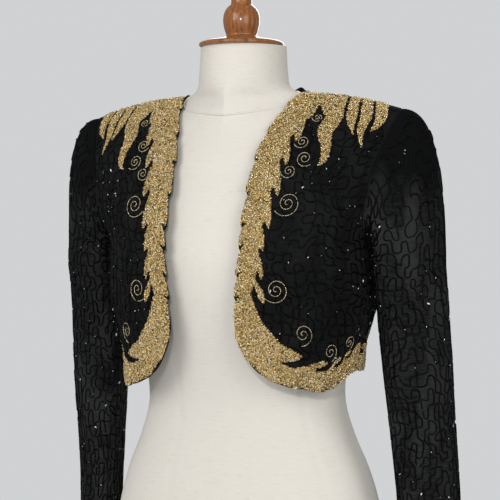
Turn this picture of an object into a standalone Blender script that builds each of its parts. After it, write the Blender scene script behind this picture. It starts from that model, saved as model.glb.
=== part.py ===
# Cropped matador jacket with beaded leaf borders, worn on a limbless dress form.
# Metres, +Z up. The front faces -Y and the wearer's left side is +X.
# The jacket is cut as two fronts, a back and two sleeves. Each is a thin wall
# lofted through level sections of the body or of the arm, and the leaf
# borders lie on the panels, made from the same sections moved outwards.

import bisect
import math

import bmesh
import bpy
import numpy as np

# Driving dimensions
CLOTH = 0.0016              # wall of the beaded cloth
SEAM_GAP = 0.0003           # between two pieces along a seam
RELIEF_GAP = 0.0009         # from the cloth to the back of the beadwork
RELIEF = 0.0018             # how thick the beadwork stands
SQUARENESS = 2.3            # power of the body sections, 2 is an ellipse
UNDERARM = 0.49             # share of the way up where the armhole starts
NECK_POINT = 0.080          # from the centre to the inner end of the shoulder
SHOULDER_TIP = 0.205        # from the centre to the armhole at the shoulder
SHOULDER_FALL = 0.022       # drop of the padded shoulder from neck to tip
SHOULDER_CURVE = 1.7        # power of that drop: level first, then falling
HEM_RISE = 0.022            # how far the hem climbs from the front to the side
CORNER_RISE = 0.020         # how far the hem climbs to the rounded front corner
NECK_STAND = 0.020          # how far the back neck stands up behind the neck
BACK_NECK_DEPTH = 0.048     # centre back of the neckline behind the shoulder
NECK_DEPTH_CENTRE = -0.0105  # the form's neck leans a little forward
STAND_BACK = 0.01045        # brings the middle of the whole over the origin

# Sections of the jacket body from hem to shoulder seam: the share of the way
# up, the height at the front, the half width of the section, how far the
# armhole is cut into it, and the depths in front and behind.
BODY_SECTIONS = (
    # share height half_width armhole front back
    (0.00, 0.3200, 0.1470, 0.0000, 0.1200, 0.1060),
    (0.10, 0.3570, 0.1500, 0.0000, 0.1235, 0.1060),
    (0.20, 0.3950, 0.1600, 0.0000, 0.1260, 0.1075),
    (0.30, 0.4320, 0.1685, 0.0000, 0.1280, 0.1110),
    (0.40, 0.4680, 0.1695, 0.0000, 0.1295, 0.1125),
    (0.49, 0.5000, 0.1700, 0.0000, 0.1275, 0.1145),
    (0.54, 0.5180, 0.1780, 0.0065, 0.1230, 0.1150),
    (0.60, 0.5400, 0.1880, 0.0125, 0.1150, 0.1150),
    (0.70, 0.5770, 0.2000, 0.0185, 0.0990, 0.1090),
    (0.80, 0.6120, 0.2080, 0.0190, 0.0800, 0.0940),
    (0.88, 0.6385, 0.2120, 0.0170, 0.0600, 0.0730),
    (0.94, 0.6605, 0.2140, 0.0140, 0.0370, 0.0470),
    (0.98, 0.6748, 0.2150, 0.0110, 0.0165, 0.0210),
    (1.00, 0.6800, 0.2150, 0.0100, 0.0000, 0.0000),
)

# Opening edge of each front, from the rounded hem corner to the neck point.
EDGE = (
    # share from_centre
    (0.00, 0.0780),
    (0.02, 0.0665),
    (0.05, 0.0585),
    (0.09, 0.0510),
    (0.14, 0.0440),
    (0.20, 0.0400),
    (0.30, 0.0425),
    (0.45, 0.0475),
    (0.60, 0.0490),
    (0.70, 0.0500),
    (0.80, 0.0540),
    (0.88, 0.0620),
    (0.94, 0.0700),
    (1.00, NECK_POINT),
)

# Sections down the sleeve: height, where its middle lies, the half width and
# the half depth of the oval, and how far its long side turns outwards.
SLEEVE_SECTIONS = (
    # height across behind long_half short_half turn_degrees
    (0.470, 0.2125, 0.0080, 0.0490, 0.0355, 62.0),
    (0.400, 0.2140, 0.0200, 0.0465, 0.0350, 56.0),
    (0.350, 0.2165, 0.0270, 0.0450, 0.0340, 54.0),
    (0.300, 0.2190, 0.0320, 0.0430, 0.0320, 52.0),
    (0.240, 0.2225, 0.0385, 0.0418, 0.0285, 50.0),
    (0.180, 0.2255, 0.0435, 0.0408, 0.0260, 50.0),
    (0.092, 0.2275, 0.0440, 0.0400, 0.0255, 50.0),
)
SLEEVE_HEAD_REACH = 0.17     # how squarely the padded head leaves the shoulder
SLEEVE_HEAD_STEPS = 5

# Sections of the dress form from its flat foot to the top of the neck.
FORM_SECTIONS = (
    # height half_width front back squareness
    (0.0120, 0.1610, 0.0730, 0.1380, 2.20),
    (0.0600, 0.1710, 0.0780, 0.1480, 2.20),
    (0.1000, 0.1735, 0.0790, 0.1500, 2.20),
    (0.1400, 0.1725, 0.0780, 0.1480, 2.20),
    (0.1800, 0.1660, 0.0750, 0.1440, 2.20),
    (0.2200, 0.1545, 0.0720, 0.1340, 2.15),
    (0.2600, 0.1380, 0.0710, 0.1210, 2.10),
    (0.3000, 0.1265, 0.0740, 0.1100, 2.10),
    (0.3400, 0.1280, 0.0840, 0.1010, 2.10),
    (0.3900, 0.1350, 0.0990, 0.0960, 2.10),
    (0.4400, 0.1410, 0.1110, 0.0960, 2.10),
    (0.4800, 0.1450, 0.1150, 0.0980, 2.10),
    (0.5200, 0.1480, 0.1080, 0.1000, 2.10),
    (0.5600, 0.1510, 0.0960, 0.0980, 2.00),
    (0.6000, 0.1550, 0.0820, 0.0880, 1.80),
    (0.6280, 0.1560, 0.0700, 0.0730, 1.50),
    (0.6430, 0.1460, 0.0650, 0.0610, 1.35),
    (0.6540, 0.1270, 0.0630, 0.0500, 1.22),
    (0.6645, 0.1020, 0.0620, 0.0425, 1.13),
    (0.6722, 0.0880, 0.0615, 0.0390, 1.12),
    (0.6778, 0.0792, 0.0610, 0.0382, 1.20),
    (0.6880, 0.0615, 0.0600, 0.0375, 1.70),
    (0.7030, 0.0565, 0.0590, 0.0370, 2.00),
    (0.7390, 0.0542, 0.0565, 0.0355, 2.00),
)
FORM_SIDES = 28

# Turned wooden cap on the neck, from its rim to the end of its stem.
CAP_PROFILE = (
    # radius height_above_neck
    (0.0505, 0.0000),
    (0.0525, 0.0015),
    (0.0525, 0.0040),
    (0.0490, 0.0062),
    (0.0380, 0.0080),
    (0.0270, 0.0100),
    (0.0195, 0.0125),
    (0.0190, 0.0150),
    (0.0215, 0.0225),
    (0.0228, 0.0335),
    (0.0210, 0.0430),
    (0.0165, 0.0495),
    (0.0130, 0.0525),
    (0.0125, 0.0700),
    (0.0105, 0.0765),
    (0.0055, 0.0795),
)
CAP_SIDES = 24

# Rows up a panel and columns across it, in shares of its height and width.
PANEL_ROWS = (0.0, 0.02, 0.05, 0.09, 0.14, 0.20, 0.28, 0.36, 0.43, UNDERARM, 0.54, 0.60,
              0.66, 0.72, 0.78, 0.84, 0.89, 0.93, 0.965, 0.985, 1.0)
FRONT_COLUMNS = 10
BACK_COLUMNS = 16

# Leaf tips along a front border, from the neck point down the opening edge
# and round the corner to the side seam: how far along the edge the tip lies
# and how far it reaches from the edge.
BORDER_TIPS = (
    # along reach
    (0.040, 0.0300),
    (0.086, 0.0360),
    (0.124, 0.0370),
    (0.165, 0.0360),
    (0.205, 0.0350),
    (0.230, 0.0300),
    (0.262, 0.0330),
    (0.290, 0.0370),
    (0.328, 0.0480),
    (0.366, 0.0470),
    (0.402, 0.0440),
    (0.437, 0.0410),
    (0.465, 0.0340),
    (0.491, 0.0320),
    (0.516, 0.0310),
    (0.540, 0.0280),
)
BACK_BORDER_PITCH = 0.034
BACK_BORDER_REACH = 0.034
BORDER_INSET = 0.0022        # dark cloth left showing outside the beadwork
NOTCH_SHARE = 0.66           # how deep the cut between two leaves comes
TURN_SPAN = 0.014            # cloth length over which the edge's heading is read

# Leaves that spread over a shoulder: the panel, the base and the tip (across
# from the centre, down from the shoulder seam), the width and the bend.
SHOULDER_LEAVES = (
    # panel base_across base_down tip_across tip_down width bend
    ("front", 0.1270, 0.004, 0.1290, 0.122, 0.0335, 0.002),
    ("front", 0.1585, 0.004, 0.1600, 0.074, 0.0135, -0.003),
    ("front", 0.1740, 0.004, 0.1740, 0.090, 0.0135, 0.003),
    ("front", 0.1900, 0.004, 0.1860, 0.062, 0.0120, 0.004),
    ("back", 0.1270, 0.004, 0.1290, 0.108, 0.0335, 0.002),
    ("back", 0.1585, 0.004, 0.1600, 0.070, 0.0135, -0.003),
    ("back", 0.1740, 0.004, 0.1740, 0.082, 0.0135, 0.003),
    ("back", 0.1900, 0.004, 0.1860, 0.058, 0.0120, 0.004),
)
LEAF_WIDTHS = (
    # share_along share_of_width
    (0.00, 1.00),
    (0.20, 1.00),
    (0.36, 0.88),
    (0.52, 0.56),
    (0.68, 0.36),
    (0.84, 0.28),
    (1.00, 0.06),
)
LEAF_STEPS = 8


def section(table, at):
    """Every later column of a table at a place between its rows, on a smooth curve."""
    keys = [row[0] for row in table]
    low_to_high = keys[0] < keys[-1]
    rows = table if low_to_high else tuple(reversed(table))
    keys = [row[0] for row in rows]
    at = min(max(at, keys[0]), keys[-1])
    i = min(max(bisect.bisect_right(keys, at) - 1, 0), len(keys) - 2)
    step = keys[i + 1] - keys[i]
    t = (at - keys[i]) / step
    before, after = max(i - 1, 0), min(i + 2, len(keys) - 1)
    values = []
    for column in range(1, len(rows[0])):
        start, end = rows[i][column], rows[i + 1][column]
        slope_in = (end - rows[before][column]) / (keys[i + 1] - keys[before]) * step
        slope_out = (rows[after][column] - start) / (keys[after] - keys[i]) * step
        values.append(
            start * (1 + 2 * t) * (1 - t) ** 2
            + slope_in * t * (1 - t) ** 2
            + end * t * t * (3 - 2 * t)
            + slope_out * t * t * (t - 1))
    return values


def ease(value, low, high):
    """0 below low, 1 above high, and a soft step between."""
    t = min(max((value - low) / (high - low), 0.0), 1.0)
    return t * t * (3 - 2 * t)


def side_reach(share):
    """How far from the centre a level of the body reaches: side seam or armhole."""
    height, half_width, armhole, front, back = section(BODY_SECTIONS, share)
    return half_width - (max(armhole, 0.0) if share > UNDERARM else 0.0)


def body_point(angle, share, back, out=0.0):
    """A point of the body, angle 0 at its centre plane and 90 degrees at its side."""
    height, half_width, armhole, front, behind = section(BODY_SECTIONS, share)
    topside = ease(share, 0.55, 0.95)
    aside = out * (1 - 0.8 * topside)
    across = (side_reach(share) + aside) * math.sin(angle)
    ratio = min(across / (half_width + aside), 1.0)
    fullness = (1 - ratio ** SQUARENESS) ** (1 / SQUARENESS)
    depth = SEAM_GAP / 2 + max((behind if back else front) + out, 0.0) * fullness
    fall = max((across - NECK_POINT) / (SHOULDER_TIP - NECK_POINT), 0.0) ** SHOULDER_CURVE
    level = height - SHOULDER_FALL * fall * ease(share, 0.50, 0.97) + out * topside
    near_hem = (1 - min(share / 0.35, 1.0)) ** 2
    if back:
        level += HEM_RISE * near_hem
    else:
        level += HEM_RISE * near_hem * ease(angle, 1.1, math.pi / 2)
        level += CORNER_RISE * near_hem * (1 - ease(across, 0.055, 0.125))
    if back:
        beside_neck = 1 - ease(across, 0.030, 0.095)
        level += NECK_STAND * beside_neck * ease(share, 0.80, 0.97)
    return np.array((across, depth if back else -depth, level))


def edge_angle(share):
    """The angle at which the opening edge of a front lies."""
    (from_centre,) = section(EDGE, share)
    return math.asin(min(from_centre / side_reach(share), 1.0))


def neckline_share(across):
    """How far up the back goes: to the shoulder seam, or to the curved neckline."""
    if across >= NECK_POINT:
        return 1.0
    depth = BACK_NECK_DEPTH * math.sqrt(1 - (across / NECK_POINT) ** 2)
    shares = np.linspace(0.80, 1.0, 81)
    depths = [section(BODY_SECTIONS, share)[4] for share in shares]
    return float(np.interp(-depth, [-d for d in depths], shares))


def mirrored(point, left):
    """The point on the wearer's left, or its twin on the right."""
    return point if left else point * np.array((-1, 1, 1))


def material(name, colour, roughness, metallic=0.0):
    made = bpy.data.materials.new(name)
    made.use_nodes = True
    shader = made.node_tree.nodes["Principled BSDF"]
    shader.inputs["Base Color"].default_value = (*colour, 1.0)
    shader.inputs["Roughness"].default_value = roughness
    shader.inputs["Metallic"].default_value = metallic
    return made


def finished(name, bm, surface):
    """Turn a bmesh into a smooth shaded object with its faces pointing out."""
    bmesh.ops.recalc_face_normals(bm, faces=bm.faces)
    mesh = bpy.data.meshes.new(name)
    bm.to_mesh(mesh)
    bm.free()
    mesh.materials.append(surface)
    mesh.shade_smooth()
    mesh.set_sharp_from_angle(angle=math.radians(40))
    made = bpy.data.objects.new(name, mesh)
    made.parent = STAND
    bpy.context.scene.collection.objects.link(made)
    return made


def sheet_wall(name, outer, inner, surface):
    """A closed wall between two grids of points, given as rows of equal length."""
    bm = bmesh.new()
    skins = [[[bm.verts.new(point) for point in row] for row in grid] for grid in (outer, inner)]
    rows, columns = len(outer), len(outer[0])
    for skin in skins:
        for j in range(rows - 1):
            for i in range(columns - 1):
                bm.faces.new((skin[j][i], skin[j][i + 1], skin[j + 1][i + 1], skin[j + 1][i]))
    rim = [(0, i) for i in range(columns)]
    rim += [(j, columns - 1) for j in range(1, rows)]
    rim += [(rows - 1, i) for i in range(columns - 2, -1, -1)]
    rim += [(j, 0) for j in range(rows - 2, 0, -1)]
    for (j, i), (k, m) in zip(rim, rim[1:] + rim[:1]):
        bm.faces.new((skins[0][j][i], skins[0][k][m], skins[1][k][m], skins[1][j][i]))
    return finished(name, bm, surface)


def tube_wall(name, outer, inner, surface):
    """A closed wall between two tubes of rings, open at both ends."""
    bm = bmesh.new()
    skins = [[[bm.verts.new(point) for point in ring] for ring in tube] for tube in (outer, inner)]
    around = len(outer[0])
    for skin in skins:
        for j in range(len(skin) - 1):
            for i in range(around):
                k = (i + 1) % around
                bm.faces.new((skin[j][i], skin[j][k], skin[j + 1][k], skin[j + 1][i]))
    for j in (0, len(outer) - 1):
        for i in range(around):
            k = (i + 1) % around
            bm.faces.new((skins[0][j][i], skins[0][j][k], skins[1][j][k], skins[1][j][i]))
    return finished(name, bm, surface)


def solid_of_rings(name, rings, surface):
    """A closed body through rings, with a flat face at each end."""
    bm = bmesh.new()
    loops = [[bm.verts.new(point) for point in ring] for ring in rings]
    around = len(rings[0])
    for low, high in zip(loops, loops[1:]):
        for i in range(around):
            k = (i + 1) % around
            bm.faces.new((low[i], low[k], high[k], high[i]))
    bm.faces.new(loops[0])
    bm.faces.new(loops[-1])
    return finished(name, bm, surface)


def front(left, surface):
    """One front, from the opening edge to the side seam and the armhole."""
    grids = []
    for out in (0.0, -CLOTH):
        grid = []
        for share in PANEL_ROWS:
            start = edge_angle(share)
            angles = [start + (math.pi / 2 - start) * i / FRONT_COLUMNS for i in range(FRONT_COLUMNS + 1)]
            grid.append([mirrored(body_point(angle, share, False, out), left) for angle in angles])
        grids.append(grid)
    return sheet_wall("front_left" if left else "front_right", *grids, surface)


def back_panel(surface):
    """The back in one piece, between the two side seams and armholes."""
    grids = []
    for out in (0.0, -CLOTH):
        grid = []
        for row in PANEL_ROWS:
            points = []
            for i in range(BACK_COLUMNS + 1):
                turn = (2 * i / BACK_COLUMNS - 1) * math.pi / 2
                top = neckline_share(SHOULDER_TIP * math.sin(abs(turn)))
                points.append(mirrored(body_point(abs(turn), row * top, True, out), turn > 0))
            grid.append(points)
        grids.append(grid)
    return sheet_wall("back", *grids, surface)


def armhole_loop():
    """Round the armhole: up the front from the underarm, and down the back."""
    shares = [share for share in PANEL_ROWS if share >= UNDERARM]
    loop = [body_point(math.pi / 2, share, False) for share in shares]
    loop += [body_point(math.pi / 2, share, True) for share in reversed(shares[1:-1])]
    loop[0][1] = 0.0
    loop[len(shares) - 1][1] = 0.0
    return np.array(loop)


def sleeve_ring(height, turns, inset):
    """A level oval of the sleeve, its first point on the side next to the body."""
    across, behind, long_half, short_half, turn_degrees = section(SLEEVE_SECTIONS, height)
    lean = math.radians(turn_degrees)
    ring = []
    for turn in turns:
        direction = math.pi + turn - lean
        along = (long_half - inset) * math.cos(direction)
        sideways = (short_half - inset) * math.sin(direction)
        ring.append((
            across + along * math.cos(lean) - sideways * math.sin(lean),
            behind + along * math.sin(lean) + sideways * math.cos(lean),
            height))
    return np.array(ring)


def sleeve_rings(inset):
    """The rings of a sleeve from the armhole over its padded head to the cuff."""
    loop = armhole_loop()
    lengths = np.linalg.norm(np.roll(loop, -1, axis=0) - loop, axis=1)
    turns = 2 * math.pi * np.concatenate(([0.0], np.cumsum(lengths)[:-1])) / lengths.sum()
    tangent = np.roll(loop, -1, axis=0) - np.roll(loop, 1, axis=0)
    inwards = np.stack((np.zeros(len(loop)), tangent[:, 2], -tangent[:, 1]), axis=1)
    inwards /= np.linalg.norm(inwards, axis=1)[:, None]
    start = loop + inwards * inset + np.array((SEAM_GAP, 0.0, 0.0))
    first = SLEEVE_SECTIONS[0][0]
    end = sleeve_ring(first, turns, inset)
    low, high = loop[:, 2].min(), loop[:, 2].max()
    rise = ((loop[:, 2] - low) / (high - low))[:, None]
    leaving = np.array((1.0, 0.0, 0.0)) * (0.012 + (SLEEVE_HEAD_REACH - 0.012) * rise)
    arriving = np.array((0.0, 0.0, -1.0)) * (start[:, 2:3] - first) * 1.0
    rings = []
    for k in range(SLEEVE_HEAD_STEPS):
        t = k / SLEEVE_HEAD_STEPS
        rings.append(
            start * (1 + 2 * t) * (1 - t) ** 2
            + leaving * t * (1 - t) ** 2
            + end * t * t * (3 - 2 * t)
            + arriving * t * t * (t - 1))
    for row in SLEEVE_SECTIONS:
        rings.append(sleeve_ring(row[0], turns, inset))
    return rings


def sleeve(left, surface):
    """One long sleeve, set into the armhole and hanging beside the body."""
    outer = [[mirrored(point, left) for point in ring] for ring in sleeve_rings(0.0)]
    inner = [[mirrored(point, left) for point in ring] for ring in sleeve_rings(CLOTH)]
    return tube_wall("sleeve_left" if left else "sleeve_right", outer, inner, surface)


def climb(back):
    """Shares of the way up and the length of cloth below each, for laying out relief."""
    shares = np.linspace(0.0, 1.0, 101)
    points = np.array([body_point(0.75, share, back) for share in shares])
    lengths = np.concatenate(([0.0], np.cumsum(np.linalg.norm(np.diff(points, axis=0), axis=1))))
    return shares, lengths


def on_panel(across, up, back, out):
    """The point of a panel at a length of cloth across from the centre and up from the hem."""
    shares, lengths = CLIMBS[back]
    share = float(np.interp(up, lengths, shares))
    angles = np.linspace(0.0, math.pi / 2, 25)
    row = np.array([body_point(angle, share, back) for angle in angles])
    spans = np.concatenate(([0.0], np.cumsum(np.linalg.norm(np.diff(row, axis=0), axis=1))))
    return body_point(float(np.interp(across, spans, angles)), share, back, out)


def edge_path():
    """The opening edge and the hem of a front, flat on the table, from the neck point."""
    shares, lengths = CLIMBS[False]
    path = []
    for share in np.linspace(1.0, 0.0, 60):
        angles = np.linspace(0.0, edge_angle(share), 12)
        row = np.array([body_point(angle, share, False) for angle in angles])
        across = np.linalg.norm(np.diff(row, axis=0), axis=1).sum()
        path.append((across, float(np.interp(share, shares, lengths))))
    angles = np.linspace(0.0, math.pi / 2, 40)
    row = np.array([body_point(angle, 0.0, False) for angle in angles])
    hem_end = np.linalg.norm(np.diff(row, axis=0), axis=1).sum()
    for across in np.linspace(path[-1][0], hem_end, 24)[1:]:
        path.append((float(across), 0.0))
    return np.array(path)


def border_front(left, surface):
    """The leaf border of one front, a scalloped band with slanting leaf tips."""
    path = edge_path()
    steps = np.linalg.norm(np.diff(path, axis=0), axis=1)
    along = np.concatenate(([0.0], np.cumsum(steps)))
    columns = []
    previous = (0.004, 0.012)
    for tip, reach in BORDER_TIPS:
        root, root_reach = previous
        columns.append((root, root_reach, 0.0))
        columns.append((root + (tip - root) * 0.45, root_reach + (reach - root_reach) * 0.55, 1.0))
        columns.append((root + (tip - root) * 0.85, reach * 0.97, 0.7))
        columns.append((tip, reach, 0.3))
        previous = (tip + 0.003, reach * NOTCH_SHARE)
    grids = []
    for out in (RELIEF_GAP, RELIEF_GAP + RELIEF):
        grid = []
        for place, reach, bulge in columns:
            behind = np.array([np.interp(place - TURN_SPAN, along, path[:, k]) for k in (0, 1)])
            ahead = np.array([np.interp(place + TURN_SPAN, along, path[:, k]) for k in (0, 1)])
            heading = (ahead - behind) / np.linalg.norm(ahead - behind)
            inwards = np.array((-heading[1], heading[0]))
            start = np.array([np.interp(place, along, path[:, k]) for k in (0, 1)])
            outer = BORDER_INSET + 0.0015 * (1 - bulge)
            flat = [start + inwards * (outer + (reach - outer) * k / 3) for k in range(4)]
            grid.append([mirrored(on_panel(a, max(u, 0.0008), False, out), left) for a, u in flat])
        grids.append(grid)
    return sheet_wall("border_left" if left else "border_right", grids[1], grids[0], surface)


def border_back(surface):
    """The leaf border along the hem of the back, from side seam to side seam."""
    angles = np.linspace(0.0, math.pi / 2, 40)
    row = np.array([body_point(angle, 0.0, True) for angle in angles])
    half = np.linalg.norm(np.diff(row, axis=0), axis=1).sum() - 0.004
    leaves = int(half / BACK_BORDER_PITCH)
    pitch = half / leaves
    columns = [(0.0, BACK_BORDER_REACH * NOTCH_SHARE)]
    for k in range(leaves):
        columns.append(((k + 0.45) * pitch, BACK_BORDER_REACH * 0.86))
        columns.append(((k + 0.88) * pitch, BACK_BORDER_REACH))
        columns.append(((k + 1.00) * pitch, BACK_BORDER_REACH * NOTCH_SHARE))
    both = [(-place, reach) for place, reach in reversed(columns[1:])] + columns
    grids = []
    for out in (RELIEF_GAP, RELIEF_GAP + RELIEF):
        grid = []
        for place, reach in both:
            heights = [BORDER_INSET + (reach - BORDER_INSET) * k / 2 for k in range(3)]
            grid.append([mirrored(on_panel(abs(place), up, True, out), place > 0) for up in heights])
        grids.append(grid)
    return sheet_wall("border_back", grids[1], grids[0], surface)


def shoulder_leaf(name, row, left, surface):
    """One bent, pointed leaf of beadwork lying on the shoulder of a panel."""
    panel, base_across, base_down, tip_across, tip_down, width, bend = row
    back = panel == "back"
    top = CLIMBS[back][1][-1]
    base = np.array((base_across, top - base_down))
    tip = np.array((tip_across, top - tip_down))
    heading = (tip - base) / np.linalg.norm(tip - base)
    sideways = np.array((-heading[1], heading[0]))
    grids = []
    for out in (RELIEF_GAP, RELIEF_GAP + RELIEF):
        grid = []
        for k in range(LEAF_STEPS + 1):
            t = k / LEAF_STEPS
            middle = base + (tip - base) * t + sideways * bend * math.sin(2 * math.pi * t)
            half = width / 2 * section(LEAF_WIDTHS, t)[0]
            flat = [middle + sideways * half * edge for edge in (-1.0, 0.0, 1.0)]
            grid.append([mirrored(on_panel(a, u, back, out), left) for a, u in flat])
        grids.append(grid)
    return sheet_wall(name, grids[1], grids[0], surface)


def form_ring(height, inset=0.0):
    """A level section of the dress form."""
    half_width, front_depth, back_depth, power = section(FORM_SECTIONS, height)
    ring = []
    for k in range(FORM_SIDES):
        turn = 2 * math.pi * k / FORM_SIDES
        cosine, sine = math.cos(turn), math.sin(turn)
        depth = (back_depth if sine > 0 else front_depth) - inset
        ring.append((
            math.copysign(abs(cosine) ** (2 / power), cosine) * (half_width - inset),
            math.copysign(abs(sine) ** (2 / power), sine) * depth,
            height))
    return ring


def form_torso(surface):
    """The linen covered dress form, whole, with no arms, legs or head."""
    rings = [form_ring(row[0]) for row in FORM_SECTIONS]
    return solid_of_rings("form_torso", rings, surface)


def form_cap(surface):
    """The turned wooden cap on the neck, with a ball and a short stem."""
    neck_top = FORM_SECTIONS[-1][0] + SEAM_GAP
    rings = []
    for radius, above in CAP_PROFILE:
        turns = [2 * math.pi * k / CAP_SIDES for k in range(CAP_SIDES)]
        rings.append([
            (radius * math.cos(turn), NECK_DEPTH_CENTRE + radius * math.sin(turn), neck_top + above)
            for turn in turns])
    return solid_of_rings("form_cap", rings, surface)


def form_base(surface):
    """The flat wooden foot under the form, its lower edge eased."""
    top = FORM_SECTIONS[0][0] - SEAM_GAP
    outline = np.array(form_ring(FORM_SECTIONS[0][0]))
    rings = []
    for height, inset in ((0.0, 0.002), (0.002, 0.0), (top - 0.001, 0.0), (top, 0.001)):
        ring = np.array(form_ring(FORM_SECTIONS[0][0], inset))
        ring[:, 2] = height
        rings.append(ring)
    return solid_of_rings("form_base", rings, surface)


for old in list(bpy.data.objects):
    bpy.data.objects.remove(old)

CLIMBS = {back: climb(back) for back in (False, True)}
STAND = bpy.data.objects.new("stand", None)
STAND.location.y = -STAND_BACK
bpy.context.scene.collection.objects.link(STAND)

beaded_cloth = material("beaded_cloth", (0.012, 0.012, 0.013), 0.55)
gold_beads = material("gold_beads", (0.42, 0.31, 0.16), 0.32, 0.75)
linen = material("linen", (0.74, 0.70, 0.62), 0.85)
turned_wood = material("turned_wood", (0.42, 0.15, 0.05), 0.30)

for left in (True, False):
    front(left, beaded_cloth)
    sleeve(left, beaded_cloth)
    border_front(left, gold_beads)
back_panel(beaded_cloth)
border_back(gold_beads)
for side, left in (("left", True), ("right", False)):
    for number, row in enumerate(SHOULDER_LEAVES, start=1):
        shoulder_leaf(f"leaf_{row[0]}_{side}_{number}", row, left, gold_beads)
form_torso(linen)
form_cap(turned_wood)
form_base(turned_wood)
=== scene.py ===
import math

import bmesh
import bpy
import numpy as np
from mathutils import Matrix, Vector


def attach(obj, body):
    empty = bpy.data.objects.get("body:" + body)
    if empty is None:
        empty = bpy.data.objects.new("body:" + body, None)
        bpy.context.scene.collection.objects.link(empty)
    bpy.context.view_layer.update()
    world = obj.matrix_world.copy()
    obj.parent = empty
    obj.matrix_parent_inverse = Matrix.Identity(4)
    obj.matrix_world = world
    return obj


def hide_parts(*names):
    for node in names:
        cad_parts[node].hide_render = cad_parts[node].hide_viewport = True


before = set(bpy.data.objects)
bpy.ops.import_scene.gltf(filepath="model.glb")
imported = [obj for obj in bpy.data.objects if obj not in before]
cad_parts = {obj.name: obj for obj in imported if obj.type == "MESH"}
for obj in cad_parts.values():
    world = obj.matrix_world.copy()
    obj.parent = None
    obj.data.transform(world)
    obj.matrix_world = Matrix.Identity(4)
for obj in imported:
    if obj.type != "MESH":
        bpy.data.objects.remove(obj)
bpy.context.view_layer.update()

# The studio
# A level camera 24 degrees round to the wearer's left, a pale round floor and
# soft lights: a broad one from the left, a fill, one behind, and a small hard one
# beside the camera that makes the beads sparkle.
CAMERA_TURN = math.radians(24)
CAMERA_REACH = 2.3
CAMERA_HEIGHT = 0.488
BODY_MIDDLE = -0.01045          # the body's centre plane lies a little in front of the origin
AIM_RIGHT = 0.01235
camera_data = bpy.data.cameras.new("camera")
camera_data.sensor_width = 36.0
camera_data.lens = 134.1
camera = bpy.data.objects.new("camera", camera_data)
bpy.context.scene.collection.objects.link(camera)
sight = Vector((math.sin(CAMERA_TURN), -math.cos(CAMERA_TURN), 0.0))
beside = Vector((math.cos(CAMERA_TURN), math.sin(CAMERA_TURN), 0.0))
neck_axis = Vector((0.0, BODY_MIDDLE - 0.015, CAMERA_HEIGHT))
camera.location = neck_axis + sight * CAMERA_REACH + beside * AIM_RIGHT
camera.rotation_euler = (math.pi / 2, 0.0, CAMERA_TURN)
bpy.context.scene.camera = camera


def node_in(tree, kind, values=(), **settings):
    """A node of a kind in a node tree, with its settings and the values of its sockets."""
    made = tree.nodes.new("ShaderNode" + kind)
    for name, value in settings.items():
        setattr(made, name, value)
    for socket, value in dict(values).items():
        made.inputs[socket].default_value = value
    return made


WALL = (0.630, 0.642, 0.656, 1.0)
SOFT_LIGHT = 0.50               # how much of the wall's brightness falls on the object
world = bpy.data.worlds.new("studio")
world.use_nodes = True
backdrop = world.node_tree.nodes["Background"]
backdrop.inputs["Color"].default_value = WALL
seen = node_in(world.node_tree, "LightPath")
glow = node_in(world.node_tree, "Math", {1: 1.0 - SOFT_LIGHT, 2: SOFT_LIGHT}, operation="MULTIPLY_ADD")
world.node_tree.links.new(seen.outputs["Is Camera Ray"], glow.inputs[0])
world.node_tree.links.new(glow.outputs[0], backdrop.inputs["Strength"])
bpy.context.scene.world = world
bpy.context.scene.view_settings.view_transform = "Standard"

LIGHTS = (
    # name place aim_height size watts
    ("key", (-0.7, -2.3, 1.45), 0.45, 1.3, 29.0),
    ("fill", (2.2, -1.7, 1.0), 0.45, 1.4, 23.0),
    ("sparkle", (0.75, -2.1, 0.95), 0.50, 0.12, 12.0),
    ("behind", (-0.6, 2.6, 1.5), 0.40, 1.6, 34.0),
)
for name, place, aim_height, size, watts in LIGHTS:
    lamp = bpy.data.lights.new(name, "AREA")
    lamp.size = size
    lamp.energy = watts
    light = bpy.data.objects.new(name, lamp)
    light.location = place
    aim = Vector((0, 0, aim_height)) - Vector(place)
    light.rotation_euler = aim.to_track_quat("-Z", "Y").to_euler()
    bpy.context.scene.collection.objects.link(light)


def linked(name, bm, surface, smooth=True):
    """A mesh object at the origin, made from a bmesh, with its finish."""
    mesh = bpy.data.meshes.new(name)
    bm.to_mesh(mesh)
    bm.free()
    mesh.materials.append(surface)
    if smooth:
        mesh.shade_smooth()
    made = bpy.data.objects.new(name, mesh)
    bpy.context.scene.collection.objects.link(made)
    return made


def plain_finish(name, colour, roughness, metallic=0.0):
    """A new material, its shader node and its node tree."""
    made = bpy.data.materials.new(name)
    made.use_nodes = True
    tree = made.node_tree
    shader = tree.nodes["Principled BSDF"]
    shader.inputs["Base Color"].default_value = (*colour, 1.0)
    shader.inputs["Roughness"].default_value = roughness
    shader.inputs["Metallic"].default_value = metallic
    return made, shader, tree


FLOOR_RADIUS = 1.05
floor_finish = plain_finish("studio_floor", (0.66, 0.66, 0.67), 0.9)[0]
bm = bmesh.new()
bmesh.ops.create_circle(bm, cap_ends=True, segments=96, radius=FLOOR_RADIUS)
linked("floor", bm, floor_finish, smooth=False)

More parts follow.
